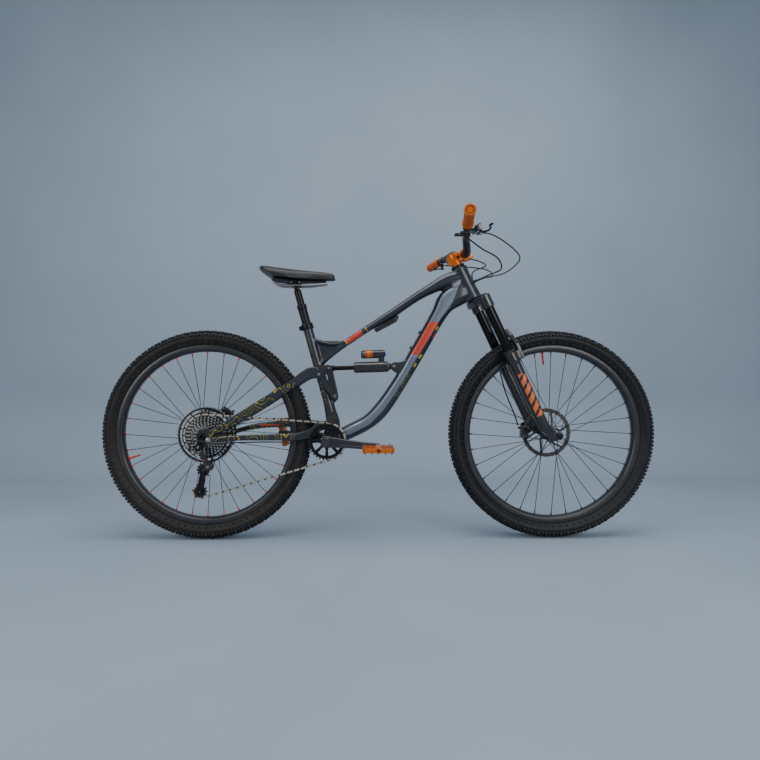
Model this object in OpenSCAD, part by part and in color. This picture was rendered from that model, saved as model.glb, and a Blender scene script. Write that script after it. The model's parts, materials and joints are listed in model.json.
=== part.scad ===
// Full-suspension mountain bike, 29 inch wheels, unloaded.
// X points forward, Y to the rider's left, Z up. The origin is on the ground midway between the axles.

/* [Wheels] */
// Distance between the two axles
wheelbase = 1230; // [1100:1:1400]
// Radius over the tyre knobs
tyre_r = 370; // [360:1:380]
// Width of the front tyre
front_tyre_w = 63; // [52:1:66]
// Width of the rear tyre
rear_tyre_w = 60; // [50:1:61]
// Radius of the rim's inner wall
rim_inner_r = 294; // [285:1:300]
// Number of spokes in each wheel
spoke_count = 32; // [24:8:40]
// Radius of both brake rotors
rotor_r = 90; // [76:1:92]

/* [Frame] */
// Head tube angle from the horizontal
head_angle = 65; // [62:0.5:68]
// Length of the head tube
head_tube_l = 124; // [105:1:145]
// Depth of the down tube at its middle
down_tube_h = 54; // [44:1:62]
// Outside diameter of the seat tube
seat_tube_d = 35.2; // [34:0.1:37]

/* [Fork] */
// Distance of the axle ahead of the steering axis
fork_offset = 51; // [44:1:56]
// Diameter of the stanchions
stanchion_d = 35; // [32:0.5:36]
// Fork travel kept free above the lowers
fork_travel = 150; // [100:1:152]

/* [Cockpit] */
// Overall width of the handlebar
bar_w = 780; // [680:2:820]
// Rise of the bar ends over the stem clamp
bar_rise = 38; // [15:1:50]
// Length of each grip
grip_l = 128; // [110:1:136]

/* [Seat] */
// Length of stanchion seen above the seatpost collar
post_exposed = 53; // [45:1:120]
// Length of the saddle
saddle_l = 268; // [240:1:280]
// Greatest width of the saddle
saddle_w = 142; // [125:1:160]

/* [Drivetrain] */
// Teeth on the chainring
ring_teeth = 32; // [28:1:34]
// Length of the crank arms between axle centres
crank_l = 175; // [165:1:180]
// Length of each pedal platform
pedal_l = 104; // [90:1:112]
// Width of each pedal platform
pedal_w = 98; // [85:1:108]

/* [Clearances] */
// Radial gap of running fits
run_gap = 0.05; // [0.02:0.01:0.1]

/* [Hidden] */
$fn = 48;

// Places in the bike's side plane, as [x, z]
rear_axle_at = [-wheelbase / 2, tyre_r];
front_axle_at = [wheelbase / 2, tyre_r];
bb_at = [-189, 349];
main_pivot = [-182, 404];
horst_pivot = [rear_axle_at[0] + 25, tyre_r - 12];
stay_pivot = [-218, 583];
rocker_pivot = [-162, 506];
shock_rear = [-183, 605];
shock_front = [47, 612];
seat_foot = [-149, 349];
seat_lean = 15.45;
post_top = 428;

// The steering axis: its foot is the point nearest the front axle
steer_lean = 90 - head_angle;
steer_foot = front_axle_at - fork_offset * [cos(steer_lean), sin(steer_lean)];
head_bottom = 556;
head_top = head_bottom + head_tube_l;
leg_y = 68;
leg_ahead = 20;
leg_r = stanchion_d / 2 + 3;
crown_bottom = 505;
seal_top = 340;
steerer_r = 14.25;
stem_bottom = head_top + 15;
stem_h = 38;
stem_reach = 39.5;
bar_r = 15.9;
bar_back = 65;
grip_r = 16.5;

// Half widths across the bike
rear_half = 74;
front_half = 55;
front_rotor_y = 44.5;
rear_rotor_y = 58.6;
chainline = 52;
cog_gap = 3.62;
cog_outer_y = 69;
cog_teeth = [10, 12, 14, 16, 18, 21, 24, 28, 32, 36, 42, 50];
cog_used = 9;
chain_pitch = 12.7;
guide_at = rear_axle_at + [-5, -121];
tension_at = rear_axle_at + [-18, -197];
cage_pivot = rear_axle_at + [18, -106];
knuckle_at = rear_axle_at + [-7, -35];
pulley_teeth = 12;
tooth_cut = 4.6;
crank_drop = 5.5;
rotor_t = 1.9;
spoke_r = 1;

function at_seat(t) = seat_foot + t * [-sin(seat_lean), cos(seat_lean)];
function steer_point(ahead, y, t) = [
    steer_foot[0] + ahead * cos(steer_lean) - t * sin(steer_lean), y,
    steer_foot[1] + ahead * sin(steer_lean) + t * cos(steer_lean)];
function pitch_r(teeth) = chain_pitch / 2 / sin(180 / teeth);

// Frames of reference that children are drawn in
module in_steering() {
    translate([steer_foot[0], 0, steer_foot[1]])
        rotate([0, -steer_lean, 0])
            children();
}
module in_seat() {
    translate([seat_foot[0], 0, seat_foot[1]])
        rotate([0, -seat_lean, 0])
            children();
}
// Origin on a point of the side plane with the child's Z axis along +Y
module across(at, y = 0) {
    translate([at[0], y, at[1]])
        rotate([-90, 0, 0])
            children();
}
module pin(at, y0, y1, r, fn = 48) {
    across(at, y0) cylinder(h = y1 - y0, r = r, $fn = fn);
}
module rod(a, b, r, fn = 16) {
    d = b - a;
    l = norm(d);
    translate(a)
        rotate([0, acos(d[2] / l), atan2(d[1], d[0])])
            cylinder(h = l, r = r, $fn = fn);
}
module both_sides() {
    children();
    mirror([0, 1, 0]) children();
}
// A plate drawn in the side plane as [x, z] points
module side_plate(points, y0, y1) {
    translate([0, y1, 0])
        rotate([90, 0, 0])
            linear_extrude(y1 - y0)
                polygon(points);
}
// A flat link between two eyes, tangent to both, from y0 to y1
module link(a, b, ra, rb, y0, y1) {
    d = b - a;
    side = [-d[1], d[0]] / norm(d);
    side_plate([a + side * ra, b + side * rb, b - side * rb, a - side * ra], y0, y1);
    pin(a, y0, y1, ra);
    pin(b, y0, y1, rb);
}

// Smooth tubes lofted along stations [x, y, z, half height, half width]
function spline(p0, p1, p2, p3, t) =
    0.5 * (2 * p1 + (p2 - p0) * t + (2 * p0 - 5 * p1 + 4 * p2 - p3) * t * t
    + (3 * p1 - p0 - 3 * p2 + p3) * t * t * t);
function smoothed(p, steps) = let(last = len(p) - 1) [
    for (i = [0:last - 1])
        for (k = [0:steps - 1])
            spline(p[max(i - 1, 0)], p[i], p[i + 1], p[min(i + 2, last)], k / steps),
    p[last]];
function power(v, e) = sign(v) * pow(abs(v), e);
function section(station, lean, boxy, sides) = [
    for (i = [0:sides - 1]) let(
        a = 360 * (i + 0.5) / sides,
        up = station[3] * power(cos(a), 2 / boxy),
        out = station[4] * power(sin(a), 2 / boxy))
        [station[0] + up * cos(lean), station[1] - out, station[2] + up * sin(lean)]];
module skin(rings) {
    n = len(rings[0]);
    last = len(rings) - 1;
    polyhedron(
        points = [for (r = rings) for (p = r) p],
        faces = concat(
            [[for (i = [0:n - 1]) i]],
            [for (k = [0:last - 1]) for (i = [0:n - 1])
                [k * n + i, (k + 1) * n + i, (k + 1) * n + (i + 1) % n, k * n + (i + 1) % n]],
            [[for (i = [n - 1:-1:0]) last * n + i]]),
        convexity = 4);
}
module loft(stations, steps = 2, boxy = 3, sides = 12) {
    path = smoothed(stations, steps);
    last = len(path) - 1;
    skin([for (i = [0:last]) let(
        ahead = path[min(i + 1, last)],
        behind = path[max(i - 1, 0)],
        lean = atan2(ahead[2] - behind[2], ahead[0] - behind[0]) + 90)
        section(path[i], lean, boxy, sides)]);
}
// A round hose swept along points
module hose(points, r, steps = 3, sides = 8, level = [0.3, 0.5, 0.81]) {
    path = smoothed(points, steps);
    last = len(path) - 1;
    skin([for (i = [0:last]) let(
        d = path[min(i + 1, last)] - path[max(i - 1, 0)],
        t = d / norm(d),
        u0 = cross(t, level),
        u = u0 / norm(u0),
        v = cross(t, u))
        [for (k = [0:sides - 1]) path[i] + r * (cos(360 * k / sides) * u + sin(360 * k / sides) * v)]]);
}

// ---- Frame ----

module front_frame() {
    color("slategray")
        difference() {
            union() {
                down_tube();
                top_tube();
                seat_tube();
                side_plate([[238, 922], [290, 944], [326, 880], [290, 868], [262, 884]], -25, 25);
                in_steering()
                    translate([0, 0, head_bottom])
                        cylinder(h = head_tube_l, r1 = 33, r2 = 29.5);
                pin(bb_at, -36.5, 36.5, 25);
                pin(main_pivot, -24, 24, 16.5);
                rocker_boss();
                shock_tabs();
            }
            in_steering() {
                translate([0, 0, head_bottom - 1]) cylinder(h = 16, r = 26);
                translate([0, 0, head_bottom]) cylinder(h = head_tube_l, r = 21.5);
                translate([0, 0, head_top - 12]) cylinder(h = 13, r = 22.5);
            }
            in_seat()
                translate([0, 0, 160])
                    cylinder(h = 300, r = 15.85);
            pin(bb_at, -37, 37, 20.5);
            pin(main_pivot, -25, 25, 7.5);
            pin(rocker_pivot, -20, 20, 6);
            pin(shock_front, -30, 30, 4);
            for (along = bottle_bosses)
                on_down_tube(along)
                    translate([0, 0, -12])
                        cylinder(h = 16, r = 2.5);
        }
}
module down_tube() {
    mid = down_tube_h / 2;
    loft([[328, 0, 884, 27, 29], [284, 0, 872, 40, 30], [240, 0, 845, 38, 29], [213, 0, 803, 29, 28],
        [174, 0, 735, mid, 27], [127, 0, 653, mid, 27], [85, 0, 580, mid - 1, 27],
        [36, 0, 503, mid, 28], [-2, 0, 452, 28, 30], [-45, 0, 413, 26, 32],
        [-100, 0, 384, 26, 33], [-146, 0, 362, 24, 33], [-178, 0, 352, 18, 33]], sides = 16);
}
module top_tube() {
    loft([[293, 0, 936, 24, 28], [240, 0, 919, 27, 27], [186, 0, 893, 20, 25], [124, 0, 857, 16, 23],
        [42, 0, 801, 16, 21], [-41, 0, 750, 12.5, 19], [-108, 0, 706, 12.5, 17]]);
    loft([[-92, 0, 715, 10, 16], [-140, 0, 694, 8, 14], [-190, 0, 693, 8, 14], [-246, 0, 708, 9, 15]]);
    loft([[-92, 0, 712, 9, 16], [-142, 0, 678, 8.5, 14], [-190, 0, 640, 8.5, 14],
        [-226, 0, 608, 9, 14]]);
    side_plate([[-120, 698], [-240, 702], [-226, 612]], -4, 4);
}
module seat_tube() {
    in_seat()
        translate([0, 0, 100])
            cylinder(h = post_top - 100, r = seat_tube_d / 2);
    loft([[-190, 0, 500, 17.5, 17.5], [-178, 0, 452, 21, 20], [-169, 0, 405, 26, 23],
        [-178, 0, 368, 27, 23], [-186, 0, 345, 22, 23]]);
}
module rocker_boss() {
    pin(rocker_pivot, -16, 16, 13);
    side_plate([[-203, 530], [-172, 528], [-150, 512], [-150, 496], [-176, 470], [-190, 470]], -11, 11);
}
module shock_tabs() {
    both_sides()
        side_plate([[38, 603], [36, 620], [46, 627], [72, 628], [106, 640], [80, 580], [56, 590]], 13, 22);
}

module seat_clamp() {
    color("dimgray")
        in_seat() {
            difference() {
                union() {
                    translate([0, 0, post_top - 18]) cylinder(h = 20, r = 21.5);
                    translate([-30, -7, post_top - 15]) cube([12, 14, 14]);
                }
                translate([0, 0, post_top - 20]) cylinder(h = 20, r = seat_tube_d / 2 + 0.02);
                translate([0, 0, post_top - 20]) cylinder(h = 30, r = 16.6);
                translate([-40, -1, post_top - 20]) cube([26, 2, 30]);
            }
            translate([-25, 0, post_top - 8])
                rotate([90, 0, 0])
                    translate([0, 0, 7])
                        cylinder(h = 4, r = 4.5);
        }
}

// Headset races and bottom bracket cups
module bearing_cups() {
    color("gray") {
        in_steering() {
            ring(head_bottom - 0.5, 14, 25.9, 19.9 + run_gap);
            ring(head_top - 11.5, 11.5, 22.4, steerer_r + run_gap);
            ring(head_top, 10, 24, steerer_r + run_gap);
        }
        both_sides()
            difference() {
                union() {
                    pin(bb_at, 20, 37, 20.4);
                    pin(bb_at, 36.6, 43, 22);
                }
                pin(bb_at, 19, 44, 14.5 + run_gap);
            }
    }
}
module ring(z, h, outer, inner) {
    translate([0, 0, z])
        difference() {
            cylinder(h = h, r = outer);
            translate([0, 0, -1]) cylinder(h = h + 2, r = inner);
        }
}

module seatpost_outer() {
    color("black")
        in_seat()
            difference() {
                union() {
                    translate([0, 0, 170]) cylinder(h = 322, r = 15.8);
                    translate([0, 0, 484]) cylinder(h = 17, r = 17.2);
                }
                translate([0, 0, 180]) cylinder(h = 400, r = 13 + run_gap);
            }
}

guide_outer = 59;
module chain_guide() {
    color("black") {
        difference() {
            translate([-188, -guide_outer, 425]) cube([36, guide_outer - 21.2, 10]);
            translate([-190, -56.4, 424]) cube([40, 8.8, 7]);
            pin(main_pivot, -38, -18, 21.5);
        }
        side_plate([[-180, 434], [-160, 434], [-160, 452], [-176, 452]], -25, -21.2);
        for (y = [-guide_outer, -47.6])
            side_plate([[-188, 428], [-152, 428], [-150, 414], [-160, 410], [-176, 412], [-188, 416]],
                y, y + 2.6);
    }
}

// Pivot axles that stay with the frame
module linkage_bolts() {
    color("silver") {
        pin(main_pivot, -34.5, 34.5, 7.45);
        both_sides() pin(main_pivot, 34.4, 37, 10);
        pin(rocker_pivot, -28.4, 28.4, 5.95);
        both_sides() pin(rocker_pivot, 28.3, 31, 9);
        pin(shock_front, -22, 22, 3.95);
        both_sides() pin(shock_front, 22, 25, 7);
    }
}

// Storage bracket under the top tube, bottle bosses and cable ports
module frame_fittings() {
    color("black") {
        side_plate([[-22, 745.3], [64, 795.3], [66, 786], [58, 774], [40, 762], [-14, 734]], -8, 8);
        pin([54, 779], -16, 16, 7);
        cable_ports();
        for (along = bottle_bosses)
            on_down_tube(along)
                difference() {
                    cylinder(h = 4, r = 6);
                    translate([0, 0, -1]) cylinder(h = 6, r = 2.5);
                }
    }
}
// Distances along the straight run of the down tube, and that run's two ends
bottle_bosses = [14, 78];
run_low = [127, 653];
run_high = [174, 735];
module on_down_tube(along) {
    d = (run_high - run_low) / norm(run_high - run_low);
    at = run_low + along * d + (down_tube_h / 2 + 0.4) * [-d[1], d[0]];
    translate([at[0], 0, at[1]])
        rotate([0, -atan2(d[1], d[0]), 0])
            children();
}
port_t = 612;
port_y = 18;
module cable_ports() {
    in_steering()
        difference() {
            for (y = [-port_y, port_y])
                translate([20, y, port_t])
                    rotate([0, 90, 0])
                        cylinder(h = 17, r = 5);
            translate([0, 0, head_bottom])
                cylinder(h = head_tube_l, r1 = 33.1, r2 = 29.6);
        }
}

// ---- Fork and steering ----

module fork_crown() {
    color("black")
        in_steering()
            difference() {
                union() {
                    crown_body();
                    both_sides()
                        translate([leg_ahead, leg_y, crown_bottom])
                            cylinder(h = 46, r = stanchion_d / 2 + 5);
                    translate([0, 0, 528]) cylinder(h = 26, r1 = 30, r2 = 28);
                    translate([0, 0, 552]) cylinder(h = 20, r = 19.9);
                    translate([0, 0, 570]) cylinder(h = 60, r1 = 19.9, r2 = steerer_r);
                    translate([0, 0, 628]) cylinder(h = stem_bottom + stem_h - 632, r = steerer_r);
                }
                translate([0, 0, 520]) cylinder(h = 300, r = 11);
                both_sides()
                    translate([leg_ahead, leg_y, crown_bottom - 1])
                        cylinder(h = 48, r = stanchion_d / 2);
            }
}
module crown_body() {
    translate([0, 0, 528])
        linear_extrude(22)
            polygon([[-26, -18], [-26, 18], [-14, 52], [2, leg_y + 4], [26, leg_y + 14],
                [27, 40], [27, -40], [26, -leg_y - 14], [2, -leg_y - 4], [-14, -52]]);
}

// Stanchions with the air cap and the damper knob, clear of the bores' floors at full travel
lower_bore_foot = 46;
stanchion_foot = lower_bore_foot + fork_travel + 6;
module fork_uppers() {
    color("dimgray")
        in_steering()
            both_sides()
                translate([leg_ahead, leg_y, 0]) {
                    translate([0, 0, stanchion_foot])
                        difference() {
                            cylinder(h = 551 - stanchion_foot, r = stanchion_d / 2 - 0.02);
                            translate([0, 0, -1]) cylinder(h = crown_bottom, r = stanchion_d / 2 - 2.5);
                        }
                    translate([0, 0, 551.1]) cylinder(h = 3, r = 16);
                    translate([0, 0, 554]) cylinder(h = 3, r = 11);
                }
}

module headset_spacers() {
    color("orange")
        in_steering() {
            ring(head_top + 10, 5, 17.5, steerer_r + 0.02);
            translate([0, 0, stem_bottom + stem_h]) cylinder(h = 4, r = 17);
            translate([0, 0, stem_bottom + stem_h - 12]) cylinder(h = 13, r = 4);
        }
}

// Centre of the bar clamp in steering coordinates
clamp_t = stem_bottom + stem_h / 2;
module stem() {
    color("orange")
        in_steering()
            difference() {
                union() {
                    translate([0, 0, stem_bottom]) cylinder(h = stem_h, r = 19);
                    translate([-24, -11, stem_bottom + 2]) cube([12, 22, stem_h - 4]);
                    both_sides() translate([6, 8, stem_bottom + 6]) cube([stem_reach - 6, 15, 26]);
                    translate([stem_reach, 23, clamp_t])
                        rotate([90, 0, 0])
                            cylinder(h = 46, r = 21);
                }
                translate([0, 0, stem_bottom - 1]) cylinder(h = stem_h + 2, r = steerer_r + 0.04);
                translate([stem_reach, 30, clamp_t])
                    rotate([90, 0, 0])
                        cylinder(h = 60, r = bar_r);
                translate([stem_reach + 1, -40, clamp_t - 40]) cube([40, 80, 80]);
                translate([-30, -1, stem_bottom - 1]) cube([20, 2, stem_h + 2]);
            }
}
module stem_faceplate() {
    color("orange")
        in_steering()
            difference() {
                union() {
                    translate([stem_reach, 23, clamp_t])
                        rotate([90, 0, 0])
                            cylinder(h = 46, r = 21);
                    for (z = [-18, 18])
                        for (y = [-17, 17])
                            translate([stem_reach + 2, y, clamp_t + z])
                                rotate([0, 90, 0])
                                    cylinder(h = 15, r = 4.5);
                }
                translate([stem_reach, 30, clamp_t])
                    rotate([90, 0, 0])
                        cylinder(h = 60, r = bar_r);
                translate([stem_reach - 40, -40, clamp_t - 40]) cube([42, 80, 80]);
                translate([stem_reach, -12, clamp_t - 12]) cube([40, 24, 24]);
            }
}

clamp_at = steer_point(stem_reach, 0, clamp_t);
bar_end = [clamp_at[0] - bar_back, bar_w / 2, clamp_at[2] + bar_rise];
bar_bend = [clamp_at[0] - 20, 118, bar_end[2] - 7];
bar_dir = (bar_end - bar_bend) / norm(bar_end - bar_bend);
function on_bar(from_end) = bar_end - from_end * bar_dir;

module handlebar() {
    color("black") {
        rod(clamp_at - [0, 38, 0], clamp_at + [0, 38, 0], bar_r - 0.04, fn = 32);
        both_sides() {
            rod(clamp_at + [0, 30, 0], clamp_at + [-5, 62, 6], 14.4, fn = 32);
            rod(clamp_at + [-3, 54, 3], clamp_at + [-16, 104, bar_rise - 11], 13.2, fn = 32);
            rod(clamp_at + [-13, 94, bar_rise - 17], on_bar(grip_l + 126), 12.3, fn = 32);
            rod(on_bar(grip_l + 140), bar_end, 11.1, fn = 32);
        }
    }
}

module grips() {
    color("orange")
        both_sides()
            difference() {
                union() {
                    rod(on_bar(grip_l), on_bar(-2), grip_r, fn = 32);
                    rod(on_bar(grip_l), on_bar(grip_l - 9), grip_r + 2, fn = 32);
                    rod(on_bar(10), on_bar(-3), grip_r + 1.5, fn = 32);
                }
                rod(on_bar(grip_l + 2), on_bar(-0.5), 11.15, fn = 32);
            }
}

// Where the brake and the remotes clamp the bar
brake_from_end = grip_l + 36;
remote_from_end = grip_l + 17;
function brake_clamp() = on_bar(brake_from_end);
function remote_clamp() = on_bar(remote_from_end);
lever_pin = brake_clamp() + [42, 4, -13];
paddle_pin = remote_clamp() + [2, -3, -29];
module clamp_band(at, w) {
    difference() {
        rod(at - w / 2 * bar_dir, at + w / 2 * bar_dir, 15, fn = 32);
        rod(at - w * bar_dir, at + w * bar_dir, 11.15, fn = 32);
    }
}
module brake_masters() {
    color("black")
        both_sides() {
            clamp_band(brake_clamp(), 11);
            difference() {
                union() {
                    rod(brake_clamp() + [13, 0, -4], brake_clamp() + [26, 0, -8], 6);
                    rod(brake_clamp() + [26, -26, -7], brake_clamp() + [30, 40, -7], 9);
                }
                translate(lever_pin - [10, 8, 2.5]) cube([24, 20, 13.5]);
            }
            for (z = [-12.5, 1.5])
                translate(lever_pin + [-14, -6, z + 2])
                    cube([18, 12, 4]);
            translate(lever_pin + [0, 0, -10]) cylinder(h = 18, r = 2.5);
        }
}
module brake_lever() {
    color("silver")
        difference() {
            union() {
                translate(lever_pin + [0, 0, -5.9]) cylinder(h = 8.8, r = 6);
                translate(lever_pin + [0, 0, -5])
                    linear_extrude(7)
                        polygon([[-3, -5], [12, -3], [21, 8], [24, 40], [15, 64], [16, 84], [11, 88],
                            [7, 84], [6, 66], [15, 40], [12, 14], [-2, 5]]);
            }
            translate(lever_pin + [0, 0, -12]) cylinder(h = 24, r = 2.5 + run_gap);
        }
}
module brake_lever_left() brake_lever();
module brake_lever_right() mirror([0, 1, 0]) brake_lever();

module remote_clamps() {
    color("black") {
        both_sides() {
            clamp_band(remote_clamp(), 9);
            translate(remote_clamp() + [-3, -6, -26]) cube([10, 9, 14]);
            translate(paddle_pin + [0, 0, -7.4]) cylinder(h = 10, r = 3);
        }
        mirror([0, 1, 0])
            translate(remote_clamp() + [-6, -10, -27])
                cylinder(h = 9, r = 17);
    }
}
module shifter_paddle() {
    mirror([0, 1, 0]) paddle(reach = 44);
}
module dropper_paddle() {
    paddle(reach = 34);
}
module paddle(reach) {
    color("dimgray")
        difference() {
            union() {
                translate(paddle_pin + [0, 0, -4.8]) cylinder(h = 4.2, r = 8);
                translate(paddle_pin + [-reach, 0, -4.8]) cube([reach, 7, 3.6]);
                translate(paddle_pin + [-reach, 0, -4.8]) cube([12, 22, 5]);
            }
            translate(paddle_pin + [0, 0, -10]) cylinder(h = 20, r = 3 + run_gap);
        }
}

// ---- Fork lowers ----

// Slide ring seals stay on the lowers as separate pieces
module fork_lowers() {
    color("black")
        in_steering() {
            difference() {
                union() {
                    both_sides() {
                        translate([leg_ahead, leg_y, 36]) cylinder(h = seal_top - 46, r1 = leg_r - 1.5, r2 = leg_r);
                        translate([leg_ahead, leg_y, seal_top - 40]) cylinder(h = 32, r = leg_r + 1.5);
                        dropout();
                    }
                    translate([-18, front_rotor_y + 11.2, 22]) cube([24, 10, 46]);
                    arch();
                }
                both_sides()
                    translate([leg_ahead, leg_y, lower_bore_foot])
                        cylinder(h = seal_top, r = stanchion_d / 2 + run_gap);
                front_axle_bore();
            }
            both_sides()
                translate([leg_ahead, leg_y, seal_top - 8])
                    difference() {
                        cylinder(h = 8, r = leg_r + 0.5);
                        translate([0, 0, -1]) cylinder(h = 10, r = stanchion_d / 2 + run_gap);
                    }
        }
}
module dropout() {
    translate([0, front_half + 0.3, 0])
        rotate([-90, 0, 0])
            linear_extrude(26)
                polygon([[6, -60], [34, -60], [48, -24], [64, -8], [64, 8], [54, 14], [40, 12],
                    [14, -16], [4, -40]]);
    translate([fork_offset, front_half + 0.3, 0])
        rotate([-90, 0, 0])
            cylinder(h = 27, r = 15);
}
module front_axle_bore() {
    translate([fork_offset, -100, 0])
        rotate([-90, 0, 0])
            cylinder(h = 200, r = 7.5);
}
arch_ahead = leg_ahead + stanchion_d / 2 + 9.5;
module arch() {
    translate([arch_ahead, 0, 0])
        rotate([90, 0, 90])
            linear_extrude(13)
                polygon([[-78, 296], [-78, 352], [-62, 388], [-34, 410], [0, 414], [34, 410],
                    [62, 388], [78, 352], [78, 296], [62, 296], [58, 346], [44, 376], [28, 388],
                    [0, 392], [-28, 388], [-44, 376], [-58, 346], [-62, 296]]);
    both_sides()
        translate([leg_ahead + 10, leg_y - 11, 296])
            cube([arch_ahead - leg_ahead, 22, 32]);
}

module front_axle() {
    color("dimgray") {
        pin(front_axle_at, -front_half - 25, front_half + 25, 7.45);
        both_sides() pin(front_axle_at, front_half + 28, front_half + 31, 10);
        both_sides() pin(front_axle_at, front_half + 24, front_half + 29, 7.4);
    }
}

// Two piston brake body over the edge of a rotor lying in the plane y = rotor_y
module caliper(rotor_y, inner, outer) {
    difference() {
        translate([-22, rotor_y - inner, -14]) cube([44, inner + outer, 28]);
        translate([-40, rotor_y - 2.2, -30]) cube([80, 4.4, 40]);
        for (x = [-30, 19])
            translate([x, rotor_y - 30, -30]) cube([11, 60, 26]);
    }
}
module front_caliper() {
    color("black")
        in_steering() {
            translate([fork_offset - 82 * sin(62), 0, 82 * cos(62)])
                rotate([0, -62, 0])
                    caliper(front_rotor_y, 13, 11);
        }
}

// ---- Wheels ----

module wheel_axis(at) {
    translate([at[0], 0, at[1]])
        rotate([90, 0, 0])
            children();
}
rim_seat_r = 311;
module rim(at) {
    color("black")
        wheel_axis(at) {
            rotate_extrude($fn = 120)
                polygon([[rim_inner_r, -8], [rim_inner_r + 9, -17.5], [317, -18], [317, -15], [rim_seat_r, -15],
                    [rim_seat_r, -10], [307, -6], [307, 6], [rim_seat_r, 10], [rim_seat_r, 15],
                    [317, 15], [317, 18], [rim_inner_r + 9, 17.5], [rim_inner_r, 8]]);
        }
}
// Half section of a tyre: a thick horseshoe, open towards the rim
function arc(r_mid, half_r, half_w, a0, a1, n) =
    [for (i = [0:n]) let(a = a0 + (a1 - a0) * i / n) [r_mid + half_r * cos(a), half_w * sin(a)]];
module tyre(at, w) {
    mid = (tyre_r + rim_seat_r) / 2 + 2;
    outer = tyre_r - mid;
    color([0.09, 0.09, 0.09])
        wheel_axis(at)
            rotate_extrude($fn = 120)
                polygon(concat(
                    [[rim_seat_r, -14.8], [rim_seat_r + 6.6, -14.8]],
                    arc(mid, outer, w / 2, -128, 128, 20),
                    [[rim_seat_r + 6.6, 14.8], [rim_seat_r, 14.8], [rim_seat_r, 12], [rim_seat_r + 9, 12.4]],
                    arc(mid, outer - 6, w / 2 - 3, 128, -128, 20),
                    [[rim_seat_r + 9, -12.4], [rim_seat_r, -12]]));
}
module spokes(at, near_y, far_y, flange_r, valve_at) {
    step = 360 / spoke_count;
    lace = 3 * 720 / spoke_count;
    color("dimgray")
        for (i = [0:spoke_count - 1]) {
            a = step * i;
            y = i % 2 == 0 ? near_y : far_y;
            turn = (i % 4 < 2 ? 1 : -1) * (lace - step / 2);
            side = (i % 4 < 2 ? 1 : -1) * 5.8;
            hub_end = [at[0] + flange_r * cos(a + turn), y + side, at[1] + flange_r * sin(a + turn)];
            rim_end = [at[0] + rim_inner_r * cos(a), sign(y) * 3, at[1] + rim_inner_r * sin(a)];
            inward = (hub_end - rim_end) / norm(hub_end - rim_end);
            rod(hub_end, rim_end + 8 * inward, spoke_r, fn = 6);
            rod(rim_end + 13 * inward, rim_end + 0.5 * inward, 2.2, fn = 6);
        }
    color("black")
        rod([at[0] + 250 * cos(valve_at), 0, at[1] + 250 * sin(valve_at)],
            [at[0] + 293.8 * cos(valve_at), 0, at[1] + 293.8 * sin(valve_at)], 3, fn = 13);
}
// Hub shell with two flanges, turning on a through axle
module hub(at, near_y, far_y, flange_r, end_y, rotor_y, axle_r) {
    color("black")
        difference() {
            union() {
                pin(at, near_y, far_y, 17);
                for (y = [near_y, far_y])
                    pin(at, y - 4, y + 4, flange_r + 4);
                pin(at, far_y, rotor_y + 6, 17);
                pin(at, -end_y, end_y, 10);
            }
            pin(at, -end_y - 1, end_y + 1, axle_r + run_gap);
        }
}
// Rotor ring on six slanted arms and a hub carrier
module rotor(at, y, inner_r) {
    color("gray")
        across(at, y - rotor_t / 2) {
            difference() {
                cylinder(h = rotor_t, r = rotor_r, $fn = 96);
                translate([0, 0, -1]) cylinder(h = rotor_t + 2, r = rotor_r - 16, $fn = 96);
                for (i = [0:17])
                    rotate(i * 20)
                        for (k = [0:1])
                            rotate(k * 9)
                                translate([rotor_r - 5 - 6 * k, 0, -1])
                                    cylinder(h = rotor_t + 2, r = 2.6, $fn = 14);
            }
            for (i = [0:5])
                rotate(i * 60)
                    linear_extrude(rotor_t)
                        polygon([[inner_r + 1, -16], [inner_r + 3, -8], [rotor_r - 15, 22], [rotor_r - 17, 12]]);
            difference() {
                translate([0, 0, -1.5]) cylinder(h = rotor_t + 3, r = inner_r + 9);
                translate([0, 0, -3]) cylinder(h = rotor_t + 6, r = inner_r);
            }
        }
}

front_flange_y = 27;
module front_hub()
    hub(front_axle_at, -front_flange_y - 4, front_flange_y, 20, front_half, front_rotor_y, 7.5);
module front_spokes() spokes(front_axle_at, -front_flange_y - 4, front_flange_y, 20, 96);
module front_rim() rim(front_axle_at);
module front_tyre() tyre(front_axle_at, front_tyre_w);
module front_rotor() rotor(front_axle_at, front_rotor_y, 17);

rear_near_flange = 19;
rear_far_flange = 36;
module rear_hub()
    hub(rear_axle_at, -rear_near_flange, rear_far_flange, 22, rear_half - 2, rear_rotor_y, 6);
module rear_spokes() spokes(rear_axle_at, -rear_near_flange, rear_far_flange, 22, 197);
module rear_rim() rim(rear_axle_at);
module rear_tyre() tyre(rear_axle_at, rear_tyre_w);
module rear_rotor() rotor(rear_axle_at, rear_rotor_y, 17);

// Twelve sprockets and the freehub body they slide on
module cassette() {
    color("silver")
        difference() {
            union() {
                for (i = [0:11]) {
                    y = cog_gap * i - cog_outer_y;
                    pin(rear_axle_at, y - 0.9, y + 0.9, pitch_r(cog_teeth[i]) - tooth_cut, fn = 96);
                }
                pin(rear_axle_at, -cog_outer_y - 1.5, -cog_outer_y + 40.5, 15.2);
                for (i = [6:10]) {
                    y = cog_gap * i - cog_outer_y;
                    pin(rear_axle_at, y + 0.8, y + cog_gap - 0.8, pitch_r(cog_teeth[i]) - 14);
                }
            }
            pin(rear_axle_at, -cog_outer_y - 3, -20, 10 + run_gap);
        }
}

// ---- Rear suspension ----

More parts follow.
